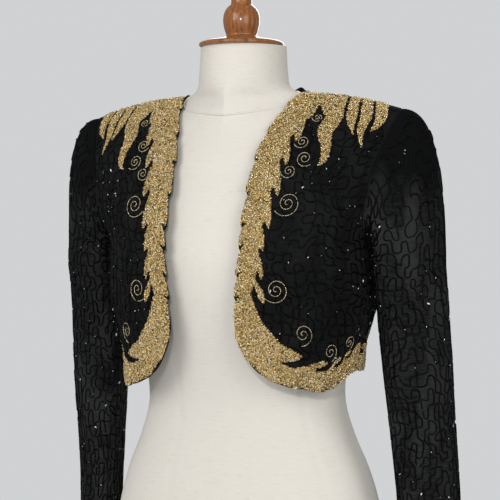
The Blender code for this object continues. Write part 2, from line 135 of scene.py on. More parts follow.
# The linen dress form
# A padded, limbless form from the hips to the neck, covered in closely woven
# off-white linen. The cover is cut in long panels, joined by seams that run
# down the body and round the base of the neck.
FORM_SECTIONS = (
    # height half_width front back squareness
    (0.0120, 0.1610, 0.0730, 0.1380, 2.20),
    (0.0600, 0.1710, 0.0780, 0.1480, 2.20),
    (0.1000, 0.1735, 0.0790, 0.1500, 2.20),
    (0.1400, 0.1725, 0.0780, 0.1480, 2.20),
    (0.1800, 0.1660, 0.0750, 0.1440, 2.20),
    (0.2200, 0.1545, 0.0720, 0.1340, 2.15),
    (0.2600, 0.1380, 0.0710, 0.1210, 2.10),
    (0.3000, 0.1265, 0.0740, 0.1100, 2.10),
    (0.3400, 0.1280, 0.0840, 0.1010, 2.10),
    (0.3900, 0.1350, 0.0990, 0.0960, 2.10),
    (0.4400, 0.1410, 0.1110, 0.0960, 2.10),
    (0.4800, 0.1450, 0.1150, 0.0980, 2.10),
    (0.5200, 0.1480, 0.1080, 0.1000, 2.10),
    (0.5600, 0.1510, 0.0960, 0.0980, 2.00),
    (0.6000, 0.1550, 0.0820, 0.0880, 1.80),
    (0.6280, 0.1560, 0.0700, 0.0730, 1.50),
    (0.6430, 0.1460, 0.0650, 0.0610, 1.35),
    (0.6540, 0.1270, 0.0630, 0.0500, 1.22),
    (0.6645, 0.1020, 0.0620, 0.0425, 1.13),
    (0.6722, 0.0880, 0.0615, 0.0390, 1.12),
    (0.6778, 0.0792, 0.0610, 0.0382, 1.20),
    (0.6880, 0.0615, 0.0600, 0.0375, 1.70),
    (0.7030, 0.0565, 0.0590, 0.0370, 2.00),
    (0.7390, 0.0542, 0.0565, 0.0355, 2.00),
)
FORM_AROUND = 192
FORM_UP = 200
SEAM_DEPTH = 0.0006
SEAM_HALF_WIDTH = 0.0035
NECK_SEAM_HEIGHT = 0.682
NECK_SEAM_DROP = 0.030          # the neck seam dips in front
NECK_WELT = 0.0016              # the radius of the piping along it
PANEL_SEAMS = (0.30, 0.70, 1.36, 1.78)      # turns of the long seams, in units of pi
FORM_RADIUS = 0.12              # a middling radius, for the seams' width round the form
FORM_COVER = (1.0, 0.73)        # the linen cover laid flat
MERGE = 0.00002                 # points nearer than this are one


def read(table, at):
    """Every later column of a table at places between its rows, on a smooth curve."""
    rows = np.array(table, dtype=float)
    if rows[0, 0] > rows[-1, 0]:
        rows = rows[::-1]
    keys, values = rows[:, 0], rows[:, 1:]
    last = len(keys) - 1
    before = np.maximum(np.arange(last + 1) - 1, 0)
    after = np.minimum(np.arange(last + 1) + 1, last)
    slopes = (values[after] - values[before]) / (keys[after] - keys[before])[:, None]
    at = np.clip(np.asarray(at, dtype=float), keys[0], keys[-1])
    i = np.clip(np.searchsorted(keys, at, side="right") - 1, 0, last - 1)
    step = (keys[i + 1] - keys[i])[..., None]
    t = (at - keys[i])[..., None] / step
    found = (
        values[i] * (1 + 2 * t) * (1 - t) ** 2
        + slopes[i] * step * t * (1 - t) ** 2
        + values[i + 1] * t * t * (3 - 2 * t)
        + slopes[i + 1] * step * t * t * (t - 1))
    return np.moveaxis(found, -1, 0)


def ease(value, low, high):
    """0 below low, 1 above high, and a soft step between."""
    t = np.clip((np.asarray(value, dtype=float) - low) / (high - low), 0.0, 1.0)
    return t * t * (3 - 2 * t)


def laid_grid(across, along, place, size=(1.0, 1.0)):
    """A flat grid whose points go to place(u, v), with u and v from 0 to 1, and its own cloth UV map."""
    bm = bmesh.new()
    bmesh.ops.create_grid(bm, x_segments=across, y_segments=along, size=0.5)
    flat = np.array([vert.co[:2] for vert in bm.verts]) + 0.5
    cloth_map = bm.loops.layers.uv.new("cloth")
    for face in bm.faces:
        for loop in face.loops:
            u, v = flat[loop.vert.index]
            loop[cloth_map].uv = (u * size[0], v * size[1])
    for vert, point in zip(bm.verts, place(flat[:, 0], flat[:, 1])):
        vert.co = point
    return bm


def form_place(u, v):
    """A point of the form: u goes round it, v goes up it."""
    low, high = FORM_SECTIONS[0][0], FORM_SECTIONS[-1][0]
    height = low + (high - low) * v
    half_width, front_depth, back_depth, power = read(FORM_SECTIONS, height)
    turn = 2 * math.pi * u
    cosine, sine = np.cos(turn), np.sin(turn)
    sunk = np.zeros_like(u)
    for seam in PANEL_SEAMS:
        off = (u - seam / 2) * 2 * math.pi * FORM_RADIUS
        sunk += SEAM_DEPTH * np.exp(-(off / SEAM_HALF_WIDTH) ** 2) * (height < NECK_SEAM_HEIGHT)
    depth = np.where(sine > 0, back_depth, front_depth) - sunk
    x = np.copysign(np.abs(cosine) ** (2 / power), cosine) * (half_width - sunk)
    y = np.copysign(np.abs(sine) ** (2 / power), sine) * depth
    return np.stack((x, y + BODY_MIDDLE, height), axis=1)


def weave_group():
    """Crossed threads with slubs: a height for Bump and a mask that varies over the cloth."""
    made = bpy.data.node_groups.new("weave", "ShaderNodeTree")
    made.interface.new_socket("Vector", in_out="INPUT", socket_type="NodeSocketVector")
    made.interface.new_socket("Threads", in_out="INPUT", socket_type="NodeSocketFloat")
    made.interface.new_socket("Height", in_out="OUTPUT", socket_type="NodeSocketFloat")
    made.interface.new_socket("Slub", in_out="OUTPUT", socket_type="NodeSocketFloat")
    links = made.links
    entry = made.nodes.new("NodeGroupInput")
    leaving = made.nodes.new("NodeGroupOutput")
    both = node_in(made, "Math", operation="MAXIMUM")
    for number, direction in enumerate(("X", "Z")):
        wave = node_in(made, "TexWave", {"Distortion": 1.2, "Detail": 1.0}, bands_direction=direction)
        links.new(entry.outputs["Vector"], wave.inputs["Vector"])
        links.new(entry.outputs["Threads"], wave.inputs["Scale"])
        links.new(wave.outputs["Fac"], both.inputs[number])
    links.new(both.outputs[0], leaving.inputs["Height"])
    stretched = node_in(made, "Mapping", {"Scale": (1.0, 1.0, 5.0)})
    slub = node_in(made, "TexNoise", {"Scale": 90.0, "Detail": 3.0})
    links.new(entry.outputs["Vector"], stretched.inputs["Vector"])
    links.new(stretched.outputs["Vector"], slub.inputs["Vector"])
    links.new(slub.outputs["Fac"], leaving.inputs["Slub"])
    return made


weave = weave_group()


def ramp_between(tree, source, stops):
    """A colour ramp on a value; stops are rows of place and colour."""
    ramp = node_in(tree, "ValToRGB")
    points = ramp.color_ramp.elements
    while len(points) < len(stops):
        points.new(0.5)
    for point, (place, colour) in zip(points, stops):
        point.position = place
        point.color = (*colour, 1.0)
    tree.links.new(source, ramp.inputs["Fac"])
    return ramp


def toned(tree, shader, source, stops):
    """Colour a finish by a value, through a colour ramp."""
    ramp = ramp_between(tree, source, stops)
    tree.links.new(ramp.outputs["Color"], shader.inputs["Base Color"])


def raised(tree, shader, height, strength, depth):
    """Raise a finish by a height, through a Bump node."""
    bump = node_in(tree, "Bump", {"Strength": strength, "Distance": depth})
    tree.links.new(height, bump.inputs["Height"])
    tree.links.new(bump.outputs["Normal"], shader.inputs["Normal"])


def woven(tree, shader, threads, depth, strength):
    """Give a cloth its threads through the weave group, and return the group's node."""
    where = node_in(tree, "TexCoord")
    cloth = node_in(tree, "Group", node_tree=weave)
    cloth.inputs["Threads"].default_value = threads
    tree.links.new(where.outputs["Object"], cloth.inputs["Vector"])
    raised(tree, shader, cloth.outputs["Height"], strength, depth)
    return cloth


linen, shader, tree = plain_finish("linen", (0.70, 0.66, 0.58), 0.88)
shader.inputs["Sheen Weight"].default_value = 0.15
shader.inputs["Specular IOR Level"].default_value = 0.25
cloth = woven(tree, shader, 420.0, 0.00012, 0.5)
toned(tree, shader, cloth.outputs["Slub"], (
    (0.22, (0.615, 0.575, 0.500)),
    (0.36, (0.685, 0.650, 0.580)),
    (0.62, (0.705, 0.670, 0.603)),
))


def closed_form(bm):
    """Join a grid that comes round to itself, close its ends and turn its faces outward."""
    bmesh.ops.remove_doubles(bm, verts=bm.verts, dist=MERGE)
    bmesh.ops.holes_fill(bm, edges=[edge for edge in bm.edges if edge.is_boundary], sides=0)
    bmesh.ops.recalc_face_normals(bm, faces=bm.faces)
    return bm


bm = closed_form(laid_grid(FORM_AROUND, FORM_UP, form_place, FORM_COVER))
dress_form = linked("dress_form", bm, linen)
dress_form.data.set_sharp_from_angle(angle=math.radians(50))
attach(dress_form, "root")
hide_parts("form_torso")


def tube_along(name, lines, radius, surface, roundness=0, closed=False):
    """One mesh of round tubes along runs of points, which rides the root."""
    curve = bpy.data.curves.new(name, "CURVE")
    curve.dimensions = "3D"
    curve.bevel_depth = radius
    curve.bevel_resolution = roundness
    curve.use_fill_caps = not closed
    for line in lines:
        spline = curve.splines.new("POLY")
        spline.points.add(len(line) - 1)
        spline.points.foreach_set("co", np.column_stack((line, np.ones(len(line)))).ravel())
        spline.use_cyclic_u = closed
    drawn = bpy.data.objects.new(name + "_path", curve)
    bpy.context.scene.collection.objects.link(drawn)
    bpy.context.view_layer.update()
    mesh = bpy.data.meshes.new_from_object(drawn.evaluated_get(bpy.context.evaluated_depsgraph_get()))
    bpy.data.objects.remove(drawn)
    mesh.name = name
    mesh.materials.clear()
    mesh.materials.append(surface)
    mesh.shade_smooth()
    made = bpy.data.objects.new(name, mesh)
    bpy.context.scene.collection.objects.link(made)
    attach(made, "root")
    return made


turn = np.linspace(0.0, 2 * math.pi, 181)[:-1]
welt_height = NECK_SEAM_HEIGHT - NECK_SEAM_DROP * np.clip(-np.sin(turn), 0.0, 1.0)
low, high = FORM_SECTIONS[0][0], FORM_SECTIONS[-1][0]
welt_line = form_place(turn / (2 * math.pi), (welt_height - low) / (high - low))
piping = tube_along("neck_piping", [welt_line], NECK_WELT, linen, 1, closed=True)

# The turned cap and the foot
# The neck is closed with a disc turned from one piece of orange-brown wood,
# with a ball and a short stem on it, stained and varnished. A flat foot of the
# same wood closes the hips.
CAP_TURN = (
    # radius height_above_neck
    (0.0001, 0.0000),
    (0.0500, 0.0000),
    (0.0516, 0.0004),
    (0.0525, 0.0015),
    (0.0526, 0.0028),
    (0.0522, 0.0042),
    (0.0505, 0.0053),
    (0.0490, 0.0060),
    (0.0440, 0.0071),
    (0.0380, 0.0080),
    (0.0320, 0.0089),
    (0.0270, 0.0100),
    (0.0222, 0.0114),
    (0.0197, 0.0126),
    (0.0189, 0.0138),
    (0.0190, 0.0150),
    (0.0199, 0.0178),
    (0.0214, 0.0222),
    (0.0224, 0.0275),
    (0.0228, 0.0333),
    (0.0223, 0.0385),
    (0.0209, 0.0431),
    (0.0187, 0.0470),
    (0.0163, 0.0497),
    (0.0140, 0.0513),
    (0.0130, 0.0525),
    (0.0127, 0.0560),
    (0.0126, 0.0640),
    (0.0124, 0.0702),
    (0.0117, 0.0742),
    (0.0104, 0.0768),
    (0.0080, 0.0787),
    (0.0045, 0.0795),
    (0.0001, 0.0796),
)
CAP_MIDDLE = BODY_MIDDLE - 0.0105
NECK_TOP = 0.7393
CAP_MERGE = 0.00012             # closes the turning at its two ends
wood, shader, tree = plain_finish("turned_wood", (0.42, 0.15, 0.05), 0.30)
shader.inputs["Coat Weight"].default_value = 0.35
shader.inputs["Coat Roughness"].default_value = 0.10
shader.inputs["Specular IOR Level"].default_value = 0.3
where = node_in(tree, "TexCoord")
along_grain = node_in(tree, "Mapping", {
    "Rotation": (0.0, math.radians(80), math.radians(25)), "Scale": (1.0, 1.0, 0.12)})
grain = node_in(tree, "TexNoise", {"Scale": 260.0, "Detail": 6.0, "Distortion": 0.6})
tree.links.new(where.outputs["Object"], along_grain.inputs["Vector"])
tree.links.new(along_grain.outputs["Vector"], grain.inputs["Vector"])
toned(tree, shader, grain.outputs["Fac"], (
    (0.30, (0.140, 0.044, 0.011)),
    (0.48, (0.275, 0.096, 0.025)),
    (0.70, (0.390, 0.152, 0.047)),
))
raised(tree, shader, grain.outputs["Fac"], 0.25, 0.0002)

bm = bmesh.new()
outline = [bm.verts.new((radius, 0.0, above)) for radius, above in CAP_TURN]
edges = [bm.edges.new(pair) for pair in zip(outline, outline[1:])]
bmesh.ops.spin(
    bm, geom=outline + edges, angle=2 * math.pi, steps=72,
    axis=(0, 0, 1), cent=(0, 0, 0), use_merge=True)
bmesh.ops.remove_doubles(bm, verts=bm.verts, dist=CAP_MERGE)
bmesh.ops.recalc_face_normals(bm, faces=bm.faces)
bmesh.ops.translate(bm, verts=bm.verts, vec=(0.0, CAP_MIDDLE, NECK_TOP))
cap = linked("neck_cap", bm, wood)
cap.data.set_sharp_from_angle(angle=math.radians(45))
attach(cap, "root")
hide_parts("form_cap")

FOOT_GRID = (144, 15)
FOOT_HEIGHT = 0.0117
FOOT_EDGE = 0.0022
FOOT_ROUNDING = 0.2             # the share of the height that each rounded edge takes


def foot_place(u, v):
    """The outline of the form's flat foot, from its underside to its top."""
    half_width, front_depth, back_depth, power = read(FORM_SECTIONS, np.full_like(u, FORM_SECTIONS[0][0]))
    turn = 2 * math.pi * u
    cosine, sine = np.cos(turn), np.sin(turn)
    past_edge = (1 - np.minimum(v, 1 - v) / FOOT_ROUNDING).clip(0)
    eased = FOOT_EDGE * (1 - np.sqrt(np.clip(1 - past_edge ** 2, 0, 1)))
    x = np.copysign(np.abs(cosine) ** (2 / power), cosine) * (half_width - eased)
    y = np.copysign(np.abs(sine) ** (2 / power), sine) * (np.where(sine > 0, back_depth, front_depth) - eased)
    return np.stack((x, y + BODY_MIDDLE, v * FOOT_HEIGHT), axis=1)


foot = linked("form_foot", closed_form(laid_grid(*FOOT_GRID, foot_place)), wood)
foot.data.set_sharp_from_angle(angle=math.radians(50))
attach(foot, "root")
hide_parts("form_base")

# The fronts and the back
# Two fronts and a back in thin black cloth, joined at the side seams and along
# the padded shoulders. Each hangs from the shoulders and stands a little off
# the form, with a few soft creases.
CLOTH = 0.0016
SEAM_GAP = 0.0003
SQUARENESS = 2.3
UNDERARM = 0.49
NECK_POINT = 0.080
SHOULDER_TIP = 0.205
SHOULDER_FALL = 0.022
SHOULDER_CURVE = 1.7
HEM_RISE = 0.022
CORNER_RISE = 0.020
NECK_STAND = 0.020
BACK_NECK_DEPTH = 0.048
HEM_BAND = 0.35                 # the share of the body over which the hem's rises fade
SIDE_SPAN = (1.1, math.pi / 2)  # angles over which the hem rises to the side seam
CORNER_SPAN = (0.055, 0.125)    # across, where the front corners rise
NECK_SPAN = (0.060, 0.087)      # across, where the back's neckline stands up
NECK_SHARES = (0.80, 0.97)
TOP_SHARES = (0.55, 0.95)       # where the body turns over to the shoulders
FALL_SHARES = (0.50, 0.97)      # where the shoulders start to fall
TOP_TURN = 0.8                  # how much of a move outwards turns upwards on the shoulders
NECKLINE_FROM = 0.80            # no part of the back's neckline lies lower than this share
SIDE_FREE = (0.004, 0.030)      # how far from the side seam the cloth is free to crease
TOP_FREE = (0.010, 0.050)       # and from the shoulder seam
HEM_FREE = (-0.020, 0.020)      # and from the hem
FRONT_GRID = (70, 100)
BACK_GRID = (120, 92)
BODY_SECTIONS = (
    # share height half_width armhole front back
    (0.00, 0.3200, 0.1470, 0.0000, 0.1200, 0.1060),
    (0.10, 0.3570, 0.1500, 0.0000, 0.1235, 0.1060),
    (0.20, 0.3950, 0.1600, 0.0000, 0.1260, 0.1075),
    (0.30, 0.4320, 0.1685, 0.0000, 0.1280, 0.1110),
    (0.40, 0.4680, 0.1695, 0.0000, 0.1295, 0.1125),
    (0.49, 0.5000, 0.1700, 0.0000, 0.1275, 0.1145),
    (0.54, 0.5180, 0.1780, 0.0065, 0.1230, 0.1150),
    (0.60, 0.5400, 0.1880, 0.0125, 0.1150, 0.1150),
    (0.70, 0.5770, 0.2000, 0.0185, 0.0990, 0.1090),
    (0.80, 0.6120, 0.2080, 0.0190, 0.0800, 0.0940),
    (0.88, 0.6385, 0.2120, 0.0170, 0.0600, 0.0730),
    (0.94, 0.6605, 0.2140, 0.0140, 0.0370, 0.0470),
    (0.98, 0.6748, 0.2150, 0.0110, 0.0165, 0.0210),
    (1.00, 0.6800, 0.2150, 0.0100, 0.0000, 0.0000),
)
EDGE = (
    # share from_centre
    (0.00, 0.0780),
    (0.02, 0.0665),
    (0.05, 0.0585),
    (0.09, 0.0510),
    (0.14, 0.0440),
    (0.20, 0.0400),
    (0.30, 0.0425),
    (0.45, 0.0475),
    (0.60, 0.0490),
    (0.70, 0.0500),
    (0.80, 0.0540),
    (0.88, 0.0620),
    (0.94, 0.0700),
    (1.00, NECK_POINT),
)
FRONT_CREASES = (
    # across up along_crease across_crease height lean_degrees
    (0.185, 0.255, 0.060, 0.0100, 0.0022, 24.0),
    (0.205, 0.215, 0.055, 0.0090, -0.0018, 18.0),
    (0.160, 0.120, 0.075, 0.0130, 0.0017, -12.0),
    (0.130, 0.060, 0.050, 0.0120, -0.0014, 30.0),
    (0.100, 0.200, 0.070, 0.0150, 0.0012, -20.0),
    (0.195, 0.080, 0.050, 0.0110, 0.0014, 8.0),
)
BACK_CREASES = (
    # across up along_crease across_crease height lean_degrees
    (0.170, 0.240, 0.065, 0.0110, 0.0022, 26.0),
    (0.120, 0.180, 0.080, 0.0160, -0.0016, -14.0),
    (0.060, 0.110, 0.070, 0.0180, 0.0016, 10.0),
    (0.150, 0.070, 0.060, 0.0120, 0.0014, -8.0),
    (0.035, 0.260, 0.060, 0.0140, -0.0010, 4.0),
)
FRONT_FLAT, FRONT_AREA = (0.245, 0.405), 0.072
BACK_FLAT, BACK_AREA = (0.460, 0.430), 0.150


def side_reach(share):
    """How far from the centre a level of the body reaches: side seam or armhole."""
    half_width, armhole = read(BODY_SECTIONS, share)[1:3]
    return half_width - np.where(share > UNDERARM, np.maximum(armhole, 0.0), 0.0)


def body_point(angle, share, back, out=0.0):
    """Points of the body, angle 0 at its centre plane and 90 degrees at its side."""
    height, half_width, _, front, behind = read(BODY_SECTIONS, share)
    topside = ease(share, *TOP_SHARES)
    aside = out * (1 - TOP_TURN * topside)
    across = (side_reach(share) + aside) * np.sin(angle)
    ratio = np.minimum(across / (half_width + aside), 1.0)
    fullness = (1 - ratio ** SQUARENESS) ** (1 / SQUARENESS)
    depth = SEAM_GAP / 2 + np.maximum((behind if back else front) + out, 0.0) * fullness
    fall = np.maximum((across - NECK_POINT) / (SHOULDER_TIP - NECK_POINT), 0.0) ** SHOULDER_CURVE
    level = height - SHOULDER_FALL * fall * ease(share, *FALL_SHARES) + out * topside
    near_hem = (1 - np.minimum(share / HEM_BAND, 1.0)) ** 2
    if back:
        level = level + HEM_RISE * near_hem
        level = level + NECK_STAND * (1 - ease(across, *NECK_SPAN)) * ease(share, *NECK_SHARES)
    else:
        level = level + HEM_RISE * near_hem * ease(angle, *SIDE_SPAN)
        level = level + CORNER_RISE * near_hem * (1 - ease(across, *CORNER_SPAN))
    return np.stack((across, (depth if back else -depth) + BODY_MIDDLE, level), axis=-1)


def edge_angle(share):
    """The angle at which the opening edge of a front lies."""
    (from_centre,) = read(EDGE, share)
    return np.arcsin(np.minimum(from_centre / side_reach(share), 1.0))


def neckline_share(across):
    """How far up the back goes: to the shoulder seam, or to the curved neckline."""
    shares = np.linspace(NECKLINE_FROM, 1.0, 81)
    depths = read(BODY_SECTIONS, shares)[4]
    wanted = BACK_NECK_DEPTH * np.sqrt(np.clip(1 - (across / NECK_POINT) ** 2, 0.0, 1.0))
    found = np.interp(-wanted, -depths, shares)
    return np.where(across >= NECK_POINT, 1.0, found)


def blend(table, j, i):
    """Values of a table between its rows j and its columns i, where the last joins the first."""
    j0, i0 = np.minimum(j.astype(int), table.shape[0] - 2), i.astype(int)
    fj, fi = (j - j0)[:, None], (i - i0)[:, None]
    one, other = i0 % table.shape[1], (i0 + 1) % table.shape[1]
    low = table[j0, one] * (1 - fi) + table[j0, other] * fi
    high = table[j0 + 1, one] * (1 - fi) + table[j0 + 1, other] * fi
    return low * (1 - fj) + high * fj


class Panel:
    """A panel laid flat: points and outward directions by cloth length across and up."""

    step = 0.0015
    reach = 0.345
    column_angle = 0.75             # up a panel is measured along this angle

    def __init__(self, back):
        shares = np.linspace(0.0, 1.0, 201)
        angles = np.linspace(0.0, math.pi / 2, 181)
        grid_angles, grid_shares = np.meshgrid(angles, shares)
        points = body_point(grid_angles, grid_shares, back)
        spans = np.linalg.norm(np.diff(points, axis=1), axis=2)
        lengths = np.concatenate((np.zeros((len(shares), 1)), np.cumsum(spans, axis=1)), axis=1)
        column = body_point(np.full_like(shares, self.column_angle), shares, back)
        rises = np.linalg.norm(np.diff(column, axis=0), axis=1)
        self.ups = np.concatenate(([0.0], np.cumsum(rises)))
        self.shares = shares
        self.widths = lengths[:, -1]
        self.top = self.ups[-1]
        places = np.arange(0.0, self.reach, self.step)
        self.points = np.empty((len(shares), len(places), 3))
        for j in range(len(shares)):
            for axis in range(3):
                self.points[j, :, axis] = np.interp(places, lengths[j], points[j, :, axis])
        past = np.maximum(places[None, :] - self.widths[:, None], 0.0)
        self.points[..., 1] += past * (-1 if back else 1)
        over = np.gradient(self.points, axis=1)
        upward = np.gradient(self.points, axis=0)
        facing = np.cross(over, upward)
        facing /= np.linalg.norm(facing, axis=2, keepdims=True) + 1e-12
        self.facing = -facing if back else facing
        self.back = back

    def look_up(self, table, across, up):
        """Values of a table of this panel between its rows and columns."""
        j = np.interp(up, self.ups, np.arange(len(self.ups)))
        return blend(table, j, np.clip(across / self.step, 0, table.shape[1] - 1.001))

    def place(self, across, up, out=0.0):
        """Points on the wearer's left half, moved out from the cloth."""
        facing = self.look_up(self.facing, across, up)
        facing /= np.linalg.norm(facing, axis=1, keepdims=True) + 1e-12
        crease = creases(BACK_CREASES if self.back else FRONT_CREASES, across, up)
        out = np.asarray(out, dtype=float) + crease * self.loose(across, up)
        return self.look_up(self.points, across, up) + facing * out.reshape(-1, 1), facing

    def loose(self, across, up):
        """1 where the cloth is free to crease, and 0 along the seams, so that they stay shut."""
        width = np.interp(up, self.ups, self.widths)
        return ease(width - across, *SIDE_FREE) * ease(self.top - up, *TOP_FREE) * ease(up, *HEM_FREE)

    def share_at(self, up):
        """How far up the body a cloth length up from the hem comes."""
        return np.interp(up, self.ups, self.shares)


def creases(table, across, up):
    """The height of soft creases, each with its own place, size and lean."""
    total = np.zeros_like(across)
    for at_across, at_up, long_way, short_way, height, lean in table:
        slant = math.radians(lean)
        over = (across - at_across) * math.cos(slant) + (up - at_up) * math.sin(slant)
        along = (up - at_up) * math.cos(slant) - (across - at_across) * math.sin(slant)
        total += height * np.exp(-(over / short_way) ** 2 - (along / long_way) ** 2)
    return total


front_cloth = Panel(False)
back_cloth = Panel(True)
SIDES = (("left", np.array((1.0, 1.0, 1.0))), ("right", np.array((-1.0, 1.0, 1.0))))


def cloth_along_row(angle, share, back, ways=40):
    """The length of cloth from the centre plane to an angle, along a level of the body."""
    steps = np.linspace(0.0, 1.0, ways)[:, None] * angle[None, :]
    row = body_point(steps, np.broadcast_to(share, steps.shape), back)
    return np.linalg.norm(np.diff(row, axis=0), axis=2).sum(axis=0)


LEAF_ENDS = (
    # where each leaf of the border ends, along the opening edge and the hem
    0.040, 0.086, 0.124, 0.165, 0.205, 0.230, 0.262, 0.290,
    0.451, 0.485, 0.506, 0.525)
SCALLOP = 0.0034
SCALLOP_START = (1.25, 0.55)    # how soon and how roundly a scallop swells from its root
SCALLOP_END = (5.0, 0.5)        # and draws in again at its end
EDGE_POINTS = 90
HEM_POINTS = 33
PAST_SEAM = 0.0018              # how far the border runs on over the side seam


def edge_path():
    """The opening edge and the hem of a front, laid flat, from the neck point."""
    shares = np.linspace(1.0, 0.0, EDGE_POINTS)
    across = cloth_along_row(edge_angle(shares), shares, False)
    ups = np.interp(shares, front_cloth.shares, front_cloth.ups)
    hem = np.linspace(across[-1], front_cloth.widths[0] + PAST_SEAM, HEM_POINTS + 1)[1:]
    return np.concatenate((np.stack((across, ups), axis=1), np.stack((hem, np.zeros_like(hem)), axis=1)))


path = edge_path()
path_along = np.concatenate(([0.0], np.cumsum(np.linalg.norm(np.diff(path, axis=0), axis=1))))
ENDS = np.array((0.0,) + LEAF_ENDS + (path_along[-1] + 0.012,))


def scallop(along):
    """How far the edge draws in at a length along it: out at each leaf's middle, in at its end."""
    k = np.clip(np.searchsorted(ENDS, along, side="right") - 1, 0, len(ENDS) - 2)
    t = (along - ENDS[k]) / (ENDS[k + 1] - ENDS[k])
    (start, start_power), (end, end_power) = SCALLOP_START, SCALLOP_END
    bulge = np.clip(t * start, 0.0, 1.0) ** start_power * np.clip((1 - t) * end, 0.0, 1.0) ** end_power
    return SCALLOP * (1 - bulge)


HEM_FADE = 30                   # how soon a scallop of the hem dies out upwards
EDGE_RADIUS = 0.13              # turns a scallop's depth at the opening edge into an angle


def front_place(mirror):
    """Where a front's grid goes: u from the opening edge to the side, v up from the hem."""
    def place(u, v):
        up = np.interp(v, front_cloth.shares, front_cloth.ups)
        along = np.interp(up, path[:EDGE_POINTS, 1][::-1], path_along[:EDGE_POINTS][::-1])
        hem_along = np.interp(u, (0.0, 1.0), (path_along[EDGE_POINTS - 1], path_along[-1]))
        lifted = v + scallop(hem_along) / front_cloth.top * (1 - v) ** HEM_FADE
        start = edge_angle(v) + scallop(along) / EDGE_RADIUS
        angle = start + (math.pi / 2 - start) * u
        across = cloth_along_row(angle, lifted, False)
        up = np.interp(lifted, front_cloth.shares, front_cloth.ups)
        crease = creases(FRONT_CREASES, across, up) * front_cloth.loose(across, up)
        facing = front_cloth.place(across, up)[1]
        return (body_point(angle, lifted, False) + facing * crease[:, None]) * mirror
    return place


def back_place(u, v):
    """Where the back's grid goes: u from side seam to side seam, v up from the hem."""
    turn = (2 * u - 1) * math.pi / 2
    top = neckline_share(SHOULDER_TIP * np.sin(np.abs(turn)))
    share = v * top
    across = cloth_along_row(np.abs(turn), share, True)
    up = np.interp(share, back_cloth.shares, back_cloth.ups)
    crease = creases(BACK_CREASES, across, up) * back_cloth.loose(across, up)
    facing = back_cloth.place(across, up)[1]
    points = body_point(np.abs(turn), share, True) + facing * crease[:, None]
    points[:, 0] *= np.where(turn >= 0, 1.0, -1.0)
    return points


def black_cloth(name, dark, light, roughness, dark_from=0.0):
    """Thin black cloth: its weave, lighter upright streaks where it lies thin that paint the light showing
    through it, and a dark upper part.
    """
    made, shader, tree = plain_finish(name, dark, roughness)
    shader.inputs["Sheen Weight"].default_value = 0.02
    shader.inputs["Sheen Roughness"].default_value = 0.5
    shader.inputs["Specular IOR Level"].default_value = 0.04
    cloth = woven(tree, shader, 560.0, 0.00010, 0.6)
    where = node_in(tree, "TexCoord")
    # The streaks are painted light: the light seen through the thin cloth, and painted highlights on its
    # upright folds.
    drawn_out = node_in(tree, "Mapping", {"Scale": (1.0, 1.0, 0.38)})
    thin_and_lit = node_in(tree, "TexNoise", {"Scale": 34.0, "Detail": 3.0})
    tree.links.new(where.outputs["Object"], drawn_out.inputs["Vector"])
    tree.links.new(drawn_out.outputs["Vector"], thin_and_lit.inputs["Vector"])
    lit_patches = ramp_between(tree, thin_and_lit.outputs["Fac"], ((0.44, (0, 0, 0)), (0.70, (1, 1, 1))))
    mixed = node_in(tree, "Math", {1: 0.65}, operation="MULTIPLY_ADD")
    tree.links.new(lit_patches.outputs["Color"], mixed.inputs[0])
    tree.links.new(cloth.outputs["Slub"], mixed.inputs[2])
    amount = mixed.outputs[0]
    # From dark_from up, the painted streaks and the slubs fade out, and the cloth keeps its darkest colour.
    if dark_from:
        parts = node_in(tree, "SeparateXYZ")
        below = node_in(tree, "MapRange", {
            "From Min": dark_from + 0.05, "From Max": dark_from - 0.08}, interpolation_type="SMOOTHSTEP")
        faded = node_in(tree, "Math", operation="MULTIPLY")
        tree.links.new(where.outputs["Object"], parts.inputs["Vector"])
        tree.links.new(parts.outputs["Z"], below.inputs["Value"])
        tree.links.new(below.outputs["Result"], faded.inputs[0])
        tree.links.new(amount, faded.inputs[1])
        amount = faded.outputs[0]
    toned(tree, shader, amount, ((0.25, dark), (0.95, light)))
    return made


# The lighter of its two colours is the painted light of its streaks.
body_black = black_cloth("body_black", (0.0036, 0.0038, 0.0038), (0.0100, 0.0103, 0.0103), 0.9)


def face_outward(bm, outward):
    """Turn a sheet's faces so that on the whole they look outward."""
    bmesh.ops.recalc_face_normals(bm, faces=bm.faces)
    if sum(face.normal.dot(outward(face.calc_center_median())) for face in bm.faces) < 0:
        bmesh.ops.reverse_faces(bm, faces=bm.faces)


def thicken(made, thickness):
    """Give a sheet its thickness, inwards."""
    wall = made.modifiers.new("wall", "SOLIDIFY")
    wall.thickness = thickness
    wall.offset = -1.0


def cloth_piece(name, bm, surface, outward, node):
    """A sheet of cloth with its thickness, and the solid that it stands for."""
    face_outward(bm, outward)
    made = linked(name, bm, surface)
    thicken(made, CLOTH)
    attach(made, "root")
    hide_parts(node)


def from_body(centre):
    """Outwards for a panel of the body."""
    return Vector((centre.x, centre.y - BODY_MIDDLE, 0.0))


for side, mirror in SIDES:
    bm = laid_grid(*FRONT_GRID, front_place(mirror), FRONT_FLAT)
    cloth_piece(f"cloth_front_{side}", bm, body_black, from_body, f"front_{side}")
bm = laid_grid(*BACK_GRID, back_place, BACK_FLAT)
cloth_piece("cloth_back", bm, body_black, from_body, "back")

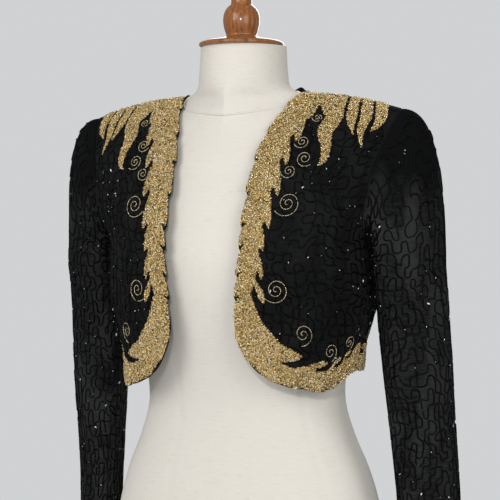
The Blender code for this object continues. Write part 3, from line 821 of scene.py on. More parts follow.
# The sleeves
# Long narrow sleeves of the same thin black cloth in a single layer; the light
# that shows through it is painted into their colour as lighter streaks, so they
# look a shade lighter. Each is set into the armhole over a padded head and
# falls beside the body with soft upright folds.
SLEEVE_SECTIONS = (
    # height across behind long_half short_half turn_degrees
    (0.470, 0.2125, 0.0080, 0.0490, 0.0355, 62.0),
    (0.400, 0.2140, 0.0200, 0.0465, 0.0350, 56.0),
    (0.350, 0.2165, 0.0270, 0.0450, 0.0340, 54.0),
    (0.300, 0.2190, 0.0320, 0.0430, 0.0320, 52.0),
    (0.240, 0.2225, 0.0385, 0.0418, 0.0285, 50.0),
    (0.180, 0.2255, 0.0435, 0.0408, 0.0260, 50.0),
    (0.092, 0.2275, 0.0440, 0.0400, 0.0255, 50.0),
)
SLEEVE_HEAD_REACH = 0.17
UNDERARM_REACH = 0.012
SLEEVE_AROUND = 132
SLEEVE_HEAD_ROWS = 34
SLEEVE_ARM_ROWS = 96
SLEEVE_MERGE = 0.00005          # closes the sleeve's grid along its line
SLEEVE_CREASED = (0.02, 0.14)   # the shares down over which its creases begin
SLEEVE_FLAT, SLEEVE_AREA = (0.330, 0.640), 0.170
SLEEVE_CREASES = (
    # share_round share_down round_way down_way height lean
    (0.36, 0.22, 0.022, 0.100, 0.0030, 0.10),
    (0.44, 0.26, 0.020, 0.120, -0.0026, 0.06),
    (0.30, 0.30, 0.020, 0.110, -0.0022, -0.05),
    (0.52, 0.30, 0.024, 0.140, 0.0026, 0.04),
    (0.22, 0.42, 0.020, 0.120, 0.0020, 0.12),
    (0.40, 0.52, 0.026, 0.140, 0.0022, -0.10),
    (0.62, 0.40, 0.024, 0.130, -0.0022, 0.08),
    (0.72, 0.55, 0.026, 0.150, 0.0024, -0.06),
    (0.86, 0.45, 0.024, 0.120, -0.0018, 0.05),
    (0.30, 0.74, 0.028, 0.120, 0.0018, 0.12),
    (0.50, 0.80, 0.030, 0.120, -0.0016, -0.12),
    (0.68, 0.84, 0.026, 0.110, 0.0016, 0.10),
    (0.08, 0.34, 0.020, 0.090, -0.0014, 0.06),
)


def smooth_armhole(samples=200):
    """Round the armhole: up the front from the underarm, and down the back."""
    shares = UNDERARM + (1 - UNDERARM) * np.sin(np.linspace(0, math.pi / 2, samples))
    shares = np.concatenate((np.linspace(UNDERARM, shares[1], 3)[:-1], shares[1:]))
    up_front = body_point(np.full_like(shares, math.pi / 2), shares, False)
    down_back = body_point(np.full_like(shares, math.pi / 2), shares, True)[::-1][1:-1]
    loop = np.concatenate((up_front, down_back))
    loop[0, 1] = BODY_MIDDLE
    loop[len(up_front) - 1, 1] = BODY_MIDDLE
    around = np.linalg.norm(np.roll(loop, -1, axis=0) - loop, axis=1)
    shares_round = np.concatenate(([0.0], np.cumsum(around))) / around.sum()
    closed = np.concatenate((loop, loop[:1]))
    return shares_round, closed


armhole_shares, armhole_points = smooth_armhole()


def sleeve_oval(height, turns):
    """Points of level ovals of the sleeve."""
    across, behind, long_half, short_half, turn_degrees = read(SLEEVE_SECTIONS, height)
    lean = np.radians(turn_degrees)
    direction = math.pi + turns - lean
    along = long_half * np.cos(direction)
    sideways = short_half * np.sin(direction)
    return np.stack((
        across + along * np.cos(lean) - sideways * np.sin(lean),
        behind + along * np.sin(lean) + sideways * np.cos(lean) + BODY_MIDDLE,
        np.broadcast_to(height, turns.shape)), axis=-1)


def sleeve_rings():
    """Fine rings from the armhole over the padded head to the cuff."""
    shares = np.arange(SLEEVE_AROUND) / SLEEVE_AROUND
    turns = 2 * math.pi * shares
    start = np.stack([np.interp(shares, armhole_shares, armhole_points[:, k]) for k in range(3)], axis=1)
    start[:, 0] += SEAM_GAP
    first = SLEEVE_SECTIONS[0][0]
    end = sleeve_oval(np.full_like(turns, first), turns)
    low, high = start[:, 2].min(), start[:, 2].max()
    rise = ((start[:, 2] - low) / (high - low))[:, None]
    leaving = np.array((1.0, 0.0, 0.0)) * (UNDERARM_REACH + (SLEEVE_HEAD_REACH - UNDERARM_REACH) * rise)
    arriving = np.array((0.0, 0.0, -1.0)) * (start[:, 2:3] - first)
    rings = []
    for k in range(SLEEVE_HEAD_ROWS):
        t = k / SLEEVE_HEAD_ROWS
        rings.append(
            start * (1 + 2 * t) * (1 - t) ** 2
            + leaving * t * (1 - t) ** 2
            + end * t * t * (3 - 2 * t)
            + arriving * t * t * (t - 1))
    for height in np.linspace(first, SLEEVE_SECTIONS[-1][0], SLEEVE_ARM_ROWS):
        rings.append(sleeve_oval(np.full_like(turns, height), turns))
    return np.array(rings)


class Sleeve:
    """A sleeve laid flat: points and outward directions by share round and length down."""

    def __init__(self):
        rings = sleeve_rings()
        steps = np.linalg.norm(np.diff(rings, axis=0), axis=2).mean(axis=1)
        self.downs = np.concatenate(([0.0], np.cumsum(steps)))
        self.length = self.downs[-1]
        facing = self.directions(rings)
        shares = np.arange(SLEEVE_AROUND) / SLEEVE_AROUND
        down_shares = self.downs / self.length
        swell = np.zeros(rings.shape[:2])
        for at_round, at_down, round_way, down_way, height, lean in SLEEVE_CREASES:
            off_down = down_shares[:, None] - at_down
            off_round = (shares[None, :] - at_round - lean * off_down + 0.5) % 1.0 - 0.5
            swell += height * np.exp(-(off_round / round_way) ** 2 - (off_down / down_way) ** 2)
        swell *= ease(down_shares, *SLEEVE_CREASED)[:, None]
        self.rings = rings + facing * swell[..., None]
        self.facing = self.directions(self.rings)

    def directions(self, rings):
        """Unit directions out of the tube at every point."""
        over = np.roll(rings, -1, axis=1) - np.roll(rings, 1, axis=1)
        down = np.gradient(rings, axis=0)
        facing = np.cross(over, down)
        facing /= np.linalg.norm(facing, axis=2, keepdims=True) + 1e-12
        outwards = rings - rings.mean(axis=1, keepdims=True)
        if (facing * outwards).sum() < 0:
            facing = -facing
        return facing

    def look_up(self, table, share, down):
        """Values of a table between its rows and round its columns."""
        j = np.interp(down, self.downs, np.arange(len(self.downs)))
        return blend(table, j, (share % 1.0) * SLEEVE_AROUND)

    def place(self, share, down, out=0.0):
        """Points on the wearer's left sleeve, moved out from the cloth."""
        facing = self.look_up(self.facing, share, down)
        facing /= np.linalg.norm(facing, axis=1, keepdims=True) + 1e-12
        return self.look_up(self.rings, share, down) + facing * np.reshape(out, (-1, 1)), facing


sleeve_cloth = Sleeve()
# Its lighter colour is painted light seen through the single layer. It fades out over the sleeve head.
sleeve_black = black_cloth("sleeve_black", (0.0034, 0.0036, 0.0036), (0.0240, 0.0245, 0.0248), 0.85, 0.585)


def sleeve_place(mirror):
    """Where a sleeve's grid goes: u round it, v down it."""
    def place(u, v):
        j = v * (len(sleeve_cloth.downs) - 1)
        down = np.interp(j, np.arange(len(sleeve_cloth.downs)), sleeve_cloth.downs)
        return sleeve_cloth.place(u, down)[0] * mirror
    return place


for side, mirror in SIDES:
    middles = sleeve_cloth.rings.mean(axis=1)

    def from_arm(centre, mirror=mirror):
        """Outwards for a point of the sleeve, away from the middle of the nearest ring."""
        ring = middles[np.argmin(np.abs(middles[:, 2] - centre.z))] * mirror
        return Vector((centre.x - ring[0], centre.y - ring[1], 0.0))

    bm = laid_grid(SLEEVE_AROUND, len(sleeve_cloth.rings) - 1, sleeve_place(mirror), SLEEVE_FLAT)
    bmesh.ops.remove_doubles(bm, verts=bm.verts, dist=SLEEVE_MERGE)
    cloth_piece(
        f"cloth_sleeve_{side}", bm, sleeve_black, from_arm, f"sleeve_{side}")

# The gold leaf borders
# Close-set gold bugle and seed beads, sewn on at all angles over a stitched
# ground. Leaves run down each opening edge from the neck, round the corner and
# along the hem, each tip standing free of the next leaf; more leaves fan out
# over the shoulders.
BORDER_TIPS = (
    # peak slit depth mouth, one row for each leaf
    (0.0370, 0.005, 0.0030, 0.0015),
    (0.0450, 0.011, 0.0075, 0.0024),
    (0.0440, 0.012, 0.0070, 0.0026),
    (0.0420, 0.014, 0.0080, 0.0028),
    (0.0365, 0.010, 0.0060, 0.0022),
    (0.0315, 0.006, 0.0040, 0.0018),
    (0.0335, 0.011, 0.0060, 0.0022),
    (0.0380, 0.022, 0.0130, 0.0030),
    (0.0560, 0.028, 0.0110, 0.0040),
    (0.0345, 0.019, 0.0085, 0.0026),
    (0.0360, 0.016, 0.0085, 0.0026),
    (0.0400, 0.014, 0.0085, 0.0024),
    (0.0460, 0.003, 0.0020, 0.0010),
)
BACK_TIP = (0.0340, 0.014, 0.0095, 0.0030)
TIP_SHARE = 0.955               # how much of its peak a leaf keeps at its tip
CORNER_LEAF = 8                 # the large leaf at the corner droops more
CORNER_TIP_SHARE = 0.700
FIRST_ROOT = (0.002, 0.020)
BLADE = ((0.22, 0.52), (0.52, 0.92), (0.80, 1.00))      # share along and share of the rise
UNDER_TIP = (0.35, 0.62)        # a point under the tip, by the slit's length and depth
SLIT_MOUTH = (0.50, 0.55)       # the slit's mouth, by its length and its width there
NEXT_ROOT = 0.55                # how far down the slit the next leaf starts
OUTER_SHARES = (0.02, 0.12, 0.3, 0.5, 0.7, 0.84)
OUTER_CUT = ((0.0034, 0.0006), (0.0085, 0.0068), (0.0018, 0.0012))
BACK_PITCH = 0.034
BORDER_INSET = -0.0016
TURN_SPAN = 0.014
HEM_FLOOR = 0.0002              # no gold reaches lower than this on the cloth
SHOULDER_SPINES = {
    # across_centre down width, each from the shoulder seam to its tip
    "front": (
        ((0.1255, 0.003, 0.0330), (0.1266, 0.018, 0.0332), (0.1293, 0.033, 0.0315), (0.1342, 0.044, 0.0253),
         (0.1355, 0.052, 0.0214), (0.1327, 0.0625, 0.0226), (0.1299, 0.072, 0.0213), (0.1322, 0.084, 0.0172),
         (0.1355, 0.095, 0.0136), (0.1367, 0.107, 0.0117), (0.1345, 0.1165, 0.0085),
         (0.1285, 0.1222, 0.0008)),
        ((0.1508, 0.003, 0.0146), (0.1520, 0.018, 0.0146), (0.1543, 0.032, 0.0144), (0.1556, 0.044, 0.0146),
         (0.1563, 0.052, 0.0125), (0.1597, 0.063, 0.0075), (0.1645, 0.0745, 0.0008)),
        ((0.1655, 0.003, 0.0148), (0.1683, 0.018, 0.0152), (0.1712, 0.030, 0.0158), (0.1724, 0.040, 0.0150),
         (0.1709, 0.052, 0.0134), (0.1704, 0.063, 0.0108), (0.1720, 0.0735, 0.0080), (0.1749, 0.084, 0.0048),
         (0.1781, 0.0935, 0.0008)),
        ((0.1840, 0.003, 0.0170), (0.1868, 0.018, 0.0180), (0.1890, 0.032, 0.0162), (0.1890, 0.044, 0.0122),
         (0.1858, 0.055, 0.0078), (0.1808, 0.0640, 0.0008)),
    ),
    "back": (
        ((0.1255, 0.003, 0.0330), (0.1266, 0.018, 0.0332), (0.1300, 0.033, 0.0300), (0.1330, 0.044, 0.0240),
         (0.1315, 0.056, 0.0195), (0.1305, 0.068, 0.0175), (0.1325, 0.084, 0.0140), (0.1335, 0.098, 0.0105),
         (0.1265, 0.1080, 0.0008)),
        ((0.1508, 0.003, 0.0146), (0.1520, 0.016, 0.0146), (0.1540, 0.030, 0.0142), (0.1562, 0.044, 0.0110),
         (0.1605, 0.068, 0.0008)),
        ((0.1655, 0.003, 0.0148), (0.1683, 0.016, 0.0152), (0.1705, 0.030, 0.0158), (0.1700, 0.044, 0.0138),
         (0.1705, 0.060, 0.0095), (0.1750, 0.083, 0.0008)),
        ((0.1840, 0.003, 0.0170), (0.1868, 0.016, 0.0178), (0.1885, 0.030, 0.0150), (0.1875, 0.042, 0.0105),
         (0.1815, 0.0580, 0.0008)),
    ),
}
YOKE = {
    # the ground that joins the border to the largest shoulder leaf
    "front": ((0.0815, 0.0030), (0.1020, 0.0030), (0.1180, 0.0030), (0.1170, 0.0240), (0.1128, 0.0300),
              (0.1122, 0.0400), (0.1108, 0.0500), (0.1085, 0.0560), (0.1040, 0.0590), (0.0980, 0.0620),
              (0.0850, 0.0600), (0.0720, 0.0300)),
    "back": ((0.0850, 0.0030), (0.1030, 0.0030), (0.1170, 0.0030), (0.1135, 0.0160), (0.1095, 0.0200),
             (0.1060, 0.0290), (0.1030, 0.0400), (0.0980, 0.0440), (0.0950, 0.0330), (0.0860, 0.0200)),
}
GROUND_CELL = 0.0019
GROUND_OUT = 0.0007
GROUND_WALL = 0.0005
DOME = 0.0016
DOME_REACH = 0.0060
DOME_FOOT = 0.0002
OUTLINE_MARGIN = 0.001          # so that points on an outline's outermost line are tried too
BEAD_SPACING = 0.00150
BEAD_JITTER = 0.55              # how far a bead strays from its place, by the spacing
BEAD_RIM = 0.0010
BUGLE_SIZE = (0.00125, 0.00125, 0.0025)
SEED_SIZE = (0.0016, 0.0016, 0.0016)
BUGLE_SHARE = 0.62
BEAD_LIFT = (0.0001, 0.0006)
BEAD_TILT = 0.30
BEAD_SCALE = (0.82, 1.18)
TONE_SPREAD = (1.2, 1.3)


def softened(points, rounds=2):
    """Cut the corners of an open line of points, keeping its two ends."""
    points = np.asarray(points, dtype=float)
    for _ in range(rounds):
        near = points[:-1] * 0.75 + points[1:] * 0.25
        far = points[:-1] * 0.25 + points[1:] * 0.75
        between = np.stack((near, far), axis=1).reshape(-1, points.shape[1])
        points = np.concatenate((points[:1], between, points[-1:]))
    return points


def leaf_row(tips):
    """The inner side of a row of leaves as (along, reach): each tip lies close over a slit."""
    line = []
    root, root_reach = FIRST_ROOT
    for along, peak, slit, depth, mouth, tip_share in tips:
        tip, length, rise = peak * tip_share, along - root, peak - root_reach
        blade = [(root, root_reach)]
        blade += [(root + length * way, root_reach + rise * share) for way, share in BLADE]
        beneath = (along - slit * UNDER_TIP[0], tip - depth * UNDER_TIP[1])
        line.extend(softened(blade + [(along, tip)]))
        line.extend(softened(((along, tip), beneath, (along - slit, tip - depth)))[1:])
        line.append((along - slit * SLIT_MOUTH[0], tip - depth - mouth * SLIT_MOUTH[1]))
        root, root_reach = along, tip - depth * NEXT_ROOT - mouth
        line.append((root, root_reach))
    return np.array(line)


def from_edge(along, reach):
    """Flat cloth places at a length along the opening edge and a reach in from it."""
    def at(place):
        return np.stack([np.interp(place, path_along, path[:, k]) for k in (0, 1)], axis=1)

    heading = at(along + TURN_SPAN) - at(along - TURN_SPAN)
    heading /= np.linalg.norm(heading, axis=1, keepdims=True)
    inwards = np.stack((-heading[:, 1], heading[:, 0]), axis=1)
    places = at(along) + inwards * np.reshape(reach, (-1, 1))
    places[:, 1] = np.maximum(places[:, 1], HEM_FLOOR)
    return places


def outer_line(tips, start=0.002, scalloped=True):
    """The outer side of the border: shallow scallops, with a small dark cut at each leaf's end."""
    line = []
    root = start
    for row in tips:
        along = row[0]
        line.extend((root + (along - root) * share, BORDER_INSET) for share in OUTER_SHARES)
        line.extend((along - back, BORDER_INSET + inwards) for back, inwards in OUTER_CUT)
        root = along
    line = np.array(line)
    if scalloped:
        line[:, 1] += scallop(line[:, 0])
    return line


def border_outline():
    """The whole outline of a front border, laid flat."""
    ends = LEAF_ENDS + (path_along[-1] + 0.0004,)
    tips = [(end, *row, TIP_SHARE) for end, row in zip(ends, BORDER_TIPS)]
    tips[CORNER_LEAF] = tips[CORNER_LEAF][:-1] + (CORNER_TIP_SHARE,)
    line = np.concatenate((outer_line(tips), leaf_row(tips)[::-1]))
    return from_edge(line[:, 0], line[:, 1])


def back_outline():
    """The leaf border along one half of the back's hem, laid flat."""
    start = 0.0003
    half = back_cloth.widths[0] + PAST_SEAM
    leaves = int(half / BACK_PITCH)
    tips = [((k + 1) * half / leaves - 0.002, *BACK_TIP, TIP_SHARE) for k in range(leaves)]
    inner = leaf_row(tips)
    inner[0, 0] = start
    return np.concatenate((outer_line(tips, start, scalloped=False), inner[::-1]))


def blade_outline(spine):
    """The outline of a bent leaf, from its spine and its widths, laid flat."""
    line = softened(spine, 3)
    heading = np.gradient(line[:, :2], axis=0)
    heading /= np.linalg.norm(heading, axis=1, keepdims=True)
    sideways = np.stack((-heading[:, 1], heading[:, 0]), axis=1)
    one = line[:, :2] + sideways * line[:, 2:] / 2
    other = line[:, :2] - sideways * line[:, 2:] / 2
    return np.concatenate((one, other[::-1]))


def inside(points, outline):
    """Which points lie inside a closed outline."""
    x, y = points[:, 0], points[:, 1]
    hit = np.zeros(len(points), dtype=bool)
    for (x0, y0), (x1, y1) in zip(outline, np.roll(outline, -1, axis=0)):
        crosses = (y0 > y) != (y1 > y)
        if y1 != y0:
            hit ^= crosses & (x < (x1 - x0) * (y - y0) / (y1 - y0) + x0)
    return hit


def rim_distance(points, outline):
    """How far points lie from the nearest part of an outline."""
    best = np.full(len(points), 1.0)
    for start, end in zip(outline, np.roll(outline, -1, axis=0)):
        span = end - start
        square = float(span @ span)
        if square < 1e-14:
            continue
        t = np.clip(((points - start) @ span) / square, 0.0, 1.0)
        best = np.minimum(best, np.linalg.norm(points - start - t[:, None] * span, axis=1))
    return best


def shoulder_outlines(panel, cloth):
    """The shoulder leaves and the ground beside them, as places across and up."""
    lines = [blade_outline(np.array(spine)) for spine in SHOULDER_SPINES[panel]]
    lines.append(softened(np.array(YOKE[panel] + YOKE[panel][:1]), 1))
    for line in lines:
        line[:, 1] = cloth.top - line[:, 1]
    return lines


def relief(points, outlines):
    """How proud the beadwork stands at each point: domed over each leaf, and 0 outside."""
    height = np.zeros(len(points))
    for outline in outlines:
        low, high = outline.min(axis=0) - OUTLINE_MARGIN, outline.max(axis=0) + OUTLINE_MARGIN
        near = np.all((points > low) & (points < high), axis=1)
        near[near] = inside(points[near], outline)
        dome = np.sqrt(np.clip(rim_distance(points[near], outline) / DOME_REACH, 0.0, 1.0))
        height[near] = np.maximum(height[near], DOME_FOOT + DOME * dome)
    return height


front_leaves = [border_outline()] + shoulder_outlines("front", front_cloth)
back_leaves = [back_outline()] + shoulder_outlines("back", back_cloth)


def gold_finish(name, stops, roughness, grit):
    """Gold beads: each takes its own tone, and its glass is a little uneven."""
    made, shader, tree = plain_finish(name, (0.5, 0.36, 0.16), roughness, 0.60)
    own = node_in(tree, "Attribute", attribute_name="tone")
    toned(tree, shader, own.outputs["Fac"], stops)
    where = node_in(tree, "TexCoord")
    grain = node_in(tree, "TexNoise", {"Scale": grit, "Detail": 2.0})
    tree.links.new(where.outputs["Object"], grain.inputs["Vector"])
    raised(tree, shader, grain.outputs["Fac"], 0.35, 0.0003)
    return made


ground_gold = gold_finish("gold_ground", (
    (0.0, (0.060, 0.042, 0.016)),
    (0.5, (0.220, 0.155, 0.058)),
    (1.0, (0.420, 0.310, 0.125)),
), 0.55, 900.0)
# The palest tones, near white, are painted glints: a few beads coloured as if the light flashed off them. The
# other tones are the beads' own gold.
gold_and_painted_glints = gold_finish("gold_beads", (
    (0.00, (0.030, 0.020, 0.008)),
    (0.10, (0.300, 0.190, 0.064)),
    (0.38, (0.820, 0.590, 0.240)),
    (0.80, (0.930, 0.730, 0.360)),
    (0.94, (1.000, 0.980, 0.860)),
), 0.24, 700.0)


def ground_piece(name, outlines, cloth, mirror, rng, nodes):
    """The stitched ground under the beads, a thin domed plate inside the outlines."""
    points = np.concatenate(outlines)
    low, high = points.min(axis=0), points.max(axis=0)
    low[0] = max(low[0], 0.0)
    across = int((high[0] - low[0]) / GROUND_CELL) + 1
    along = int((high[1] - low[1]) / GROUND_CELL) + 1
    bm = bmesh.new()
    bmesh.ops.create_grid(bm, x_segments=across, y_segments=along, size=0.5)
    flat = (np.array([vert.co[:2] for vert in bm.verts]) + 0.5) * (high - low) + low
    height = relief(flat, outlines)
    kept = height > 0
    spare = [vert for vert in bm.verts if not kept[vert.index]]
    places, facing = cloth.place(flat[:, 0], flat[:, 1], GROUND_OUT + height)
    for vert, point in zip(bm.verts, places * mirror):
        vert.co = point
    bmesh.ops.delete(bm, geom=spare, context="VERTS")
    alone = [vert for vert in bm.verts if not vert.link_faces]
    bmesh.ops.delete(bm, geom=alone, context="VERTS")
    face_outward(bm, from_body)
    made = linked(name, bm, ground_gold)
    tones = made.data.attributes.new("tone", "FLOAT", "POINT")
    tones.data.foreach_set("value", rng.uniform(0.0, 1.0, len(made.data.vertices)))
    thicken(made, GROUND_WALL)
    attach(made, "root")
    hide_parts(*nodes)


def bead_shape(bm, size):
    """The corner points and triangles of one bead, from a bmesh about 1 across."""
    bmesh.ops.scale(bm, vec=size, verts=bm.verts)
    bmesh.ops.triangulate(bm, faces=bm.faces)
    bmesh.ops.recalc_face_normals(bm, faces=bm.faces)
    corners = np.array([vert.co[:] for vert in bm.verts])
    faces = np.array([[vert.index for vert in face.verts] for face in bm.faces])
    bm.free()
    return corners, faces


bm = bmesh.new()
bmesh.ops.create_cone(bm, cap_ends=True, segments=3, radius1=0.5, radius2=0.5, depth=1.0)
BUGLE = bead_shape(bm, BUGLE_SIZE)
bm = bmesh.new()
bmesh.ops.create_uvsphere(bm, u_segments=4, v_segments=2, radius=0.5)
SEED = bead_shape(bm, SEED_SIZE)


def joined_beads(name, groups, surface):
    """One mesh of many beads, from groups of (shape, places, turning matrices, tones)."""
    corners, faces, tones, first = [], [], [], 0
    for (points, triangles), places, turns, tone in groups:
        spread = np.einsum("nij,pj->npi", turns, points) + places[:, None, :]
        starts = first + np.arange(len(places)) * len(points)
        corners.append(spread.reshape(-1, 3))
        faces.append((triangles[None, :, :] + starts[:, None, None]).reshape(-1, 3))
        tones.append(np.repeat(tone, len(points)))
        first += len(places) * len(points)
    corners, faces = np.concatenate(corners), np.concatenate(faces)
    mesh = bpy.data.meshes.new(name)
    mesh.vertices.add(len(corners))
    mesh.vertices.foreach_set("co", corners.ravel())
    mesh.loops.add(faces.size)
    mesh.loops.foreach_set("vertex_index", faces.ravel())
    mesh.polygons.add(len(faces))
    mesh.polygons.foreach_set("loop_start", np.arange(len(faces)) * 3)
    mesh.update(calc_edges=True)
    mesh.attributes.new("tone", "FLOAT", "POINT").data.foreach_set("value", np.concatenate(tones))
    mesh.materials.append(surface)
    made = bpy.data.objects.new(name, mesh)
    bpy.context.scene.collection.objects.link(made)
    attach(made, "root")
    return made


def turned_to(facing, yaw, tilt, roll, mirror):
    """Turning matrices that lay a bead's long axis on the cloth, turned by yaw and tilted."""
    up = np.array((0.0, 0.0, 1.0))
    over = np.cross(up, facing)
    over /= np.linalg.norm(over, axis=1, keepdims=True) + 1e-9
    upward = np.cross(facing, over)
    along = over * np.cos(yaw)[:, None] + upward * np.sin(yaw)[:, None]
    along = along * np.cos(tilt)[:, None] + facing * np.sin(tilt)[:, None]
    side = np.cross(facing, along)
    side /= np.linalg.norm(side, axis=1, keepdims=True) + 1e-9
    third = np.cross(along, side)
    first = side * np.cos(roll)[:, None] + third * np.sin(roll)[:, None]
    second = third * np.cos(roll)[:, None] - side * np.sin(roll)[:, None]
    turns = np.stack((first, second, along), axis=2)
    turns = turns * mirror[None, :, None]
    if mirror[0] < 0:
        turns[:, :, 0] *= -1
    return turns


def beads_on(name, outlines, cloth, mirror, rng):
    """Beads close together at all angles inside the outlines."""
    points = np.concatenate(outlines)
    low, high = points.min(axis=0), points.max(axis=0)
    columns = np.arange(max(low[0], 0.0), high[0], BEAD_SPACING)
    rows = np.arange(low[1], high[1], BEAD_SPACING)
    flat = np.stack(np.meshgrid(columns, rows), axis=-1).reshape(-1, 2)
    flat = flat + rng.uniform(-BEAD_JITTER, BEAD_JITTER, flat.shape) * BEAD_SPACING
    flat[:, 0] = np.maximum(flat[:, 0], 0.0)
    height = relief(flat, outlines)
    kept = height > DOME_FOOT + DOME * math.sqrt(BEAD_RIM / DOME_REACH)
    flat, height = flat[kept], height[kept]
    bugles = rng.random(len(flat)) < BUGLE_SHARE
    groups = []
    for shape, chosen in ((BUGLE, bugles), (SEED, ~bugles)):
        here, count = flat[chosen], chosen.sum()
        lift = GROUND_OUT + height[chosen] + rng.uniform(*BEAD_LIFT, count)
        places, facing = cloth.place(here[:, 0], here[:, 1], lift)
        yaw = rng.uniform(0, 2 * math.pi, count)
        tilt = rng.normal(0, BEAD_TILT, count)
        roll = rng.uniform(0, math.pi, count)
        turns = turned_to(facing, yaw, tilt, roll, mirror)
        turns = turns * rng.uniform(*BEAD_SCALE, count)[:, None, None]
        groups.append((shape, places * mirror, turns, rng.beta(*TONE_SPREAD, count)))
    joined_beads(name, groups, gold_and_painted_glints)


for number, (side, mirror) in enumerate(SIDES):
    rng = np.random.default_rng(21 + number)
    nodes = [f"border_{side}"] + [f"leaf_front_{side}_{k}" for k in (1, 2, 3, 4)]
    ground_piece(f"gold_ground_front_{side}", front_leaves, front_cloth, mirror, rng, nodes)
    beads_on(f"gold_beads_front_{side}", front_leaves, front_cloth, mirror, rng)
    nodes = [f"leaf_back_{side}_{k}" for k in (5, 6, 7, 8)] + (["border_back"] if side == "left" else [])
    ground_piece(f"gold_ground_back_{side}", back_leaves, back_cloth, mirror, rng, nodes)
    beads_on(f"gold_beads_back_{side}", back_leaves, back_cloth, mirror, rng)

# The gold spirals
# Thin tendrils of tiny pale gold beads on a thread. Each winds in from a leaf's
# slit to a tight curl on the black cloth.
SPIRALS = {
    "front": (
        # across down radius start_degrees turns hand
        (0.1160, 0.0530, 0.0058, 190, 1.9, 1),
        (0.1060, 0.0900, 0.0078, 205, 2.05, 1),
        (0.1130, 0.1120, 0.0090, -45, 2.1, -1),
        (0.0970, 0.1290, 0.0080, 195, 1.95, 1),
        (0.1015, 0.1690, 0.0135, 210, 2.2, 1),
        (0.0925, 0.2710, 0.0132, 215, 2.2, 1),
        (0.1235, 0.3230, 0.0110, 262, 2.0, 1),
        (0.1600, 0.3440, 0.0092, 285, 1.9, 1),
        (0.1920, 0.3380, 0.0088, 285, 1.8, 1),
    ),
    "back": (
        # across down radius start_degrees turns hand
        (0.1120, 0.0530, 0.0060, 190, 1.9, 1),
        (0.1060, 0.0810, 0.0078, 205, 2.05, 1),
        (0.1130, 0.1020, 0.0085, -45, 2.1, -1),
        (0.0550, 0.3330, 0.0100, 262, 2.0, 1),
        (0.1250, 0.3330, 0.0105, 262, 2.0, 1),
        (0.1850, 0.3300, 0.0080, 285, 1.9, 1),
    ),
}
TENDRIL_BEAD = 0.00115
TENDRIL_PITCH = 0.86            # the step from bead to bead, by their size
TENDRIL_OUT = 0.0006
TENDRIL_TAIL = 1.24             # the tail's reach from the curl's middle, by the radius
TENDRIL_WIND = (1.14, 0.72)     # how far it winds in, and how soon
TENDRIL_TALL = 1.05
thread_gold = gold_finish("thread_gold", (
    (0.0, (0.420, 0.330, 0.170)),
    (0.5, (0.620, 0.520, 0.310)),
    (1.0, (0.860, 0.790, 0.580)),
), 0.30, 1200.0)
bm = bmesh.new()
bmesh.ops.create_icosphere(bm, subdivisions=1, radius=0.5)
TENDRIL_SHAPE = bead_shape(bm, (TENDRIL_BEAD, TENDRIL_BEAD, TENDRIL_BEAD))


def spiral_line(across, down, radius, start, turns, hand):
    """Places along one tendril, from its tail to its curl."""
    t = np.linspace(0.0, 1.0, 240)
    angle = math.radians(start) + hand * 2 * math.pi * turns * t
    wind, power = TENDRIL_WIND
    reach = radius * (TENDRIL_TAIL - wind * t ** power)
    x = across + reach * np.cos(angle)
    y = down - reach * np.sin(angle) * TENDRIL_TALL
    line = np.stack((x, y), axis=1)
    steps = np.concatenate(([0.0], np.cumsum(np.linalg.norm(np.diff(line, axis=0), axis=1))))
    wanted = np.arange(0.0, steps[-1], TENDRIL_BEAD * TENDRIL_PITCH)
    return np.stack([np.interp(wanted, steps, line[:, k]) for k in (0, 1)], axis=1)


for number, (side, mirror) in enumerate(SIDES):
    rng = np.random.default_rng(57 + number)
    groups = []
    for panel, cloth in (("front", front_cloth), ("back", back_cloth)):
        for row in SPIRALS[panel]:
            line = spiral_line(*row)
            places, facing = cloth.place(line[:, 0], cloth.top - line[:, 1], TENDRIL_OUT)
            turns = turned_to(facing, *rng.uniform(0, 6, (3, len(line))), mirror)
            groups.append((TENDRIL_SHAPE, places * mirror, turns, rng.uniform(0, 1, len(line))))
    joined_beads(f"tendrils_{side}", groups, thread_gold)

# The black beaded lines
# All the black cloth is covered with one wandering line of tiny black beads on
# each piece, which never crosses itself, and a few beads coloured near white
# are painted glints where they catch the light. The lines stop at the gold leaves.
CELL = np.array((0.0112, 0.0132))
LINE_RADIUS = 0.00092
LINE_OUT = 0.0004
LINE_STEP = 0.0025
BEND = 0.95                     # how roundly a line leaves a cell's side
BEND_SPREAD = (0.8, 1.5)
LINE_JITTER = 0.27              # how far the lines stray from the middles of the cells' sides
SHORTEST_RUN = 4
LEAN = ((0.30, 2, 0.55), (0.22, 1, -0.9))       # size, waves across and slope of each sway
RISE = ((0.30, 3, 0.35),)
EDGE_MARGIN = 0.003             # the lines stop this far from an open edge, a hem or a cuff
SEAM_MARGIN = 0.002             # and this far from a seam
HEAD_MARGIN = 0.004             # and from the armhole
NECK_MARGIN = 0.012             # and from the back's neckline, as a share of the body
BACK_HALF = 0.26                # turns a length of cloth across the back into an angle


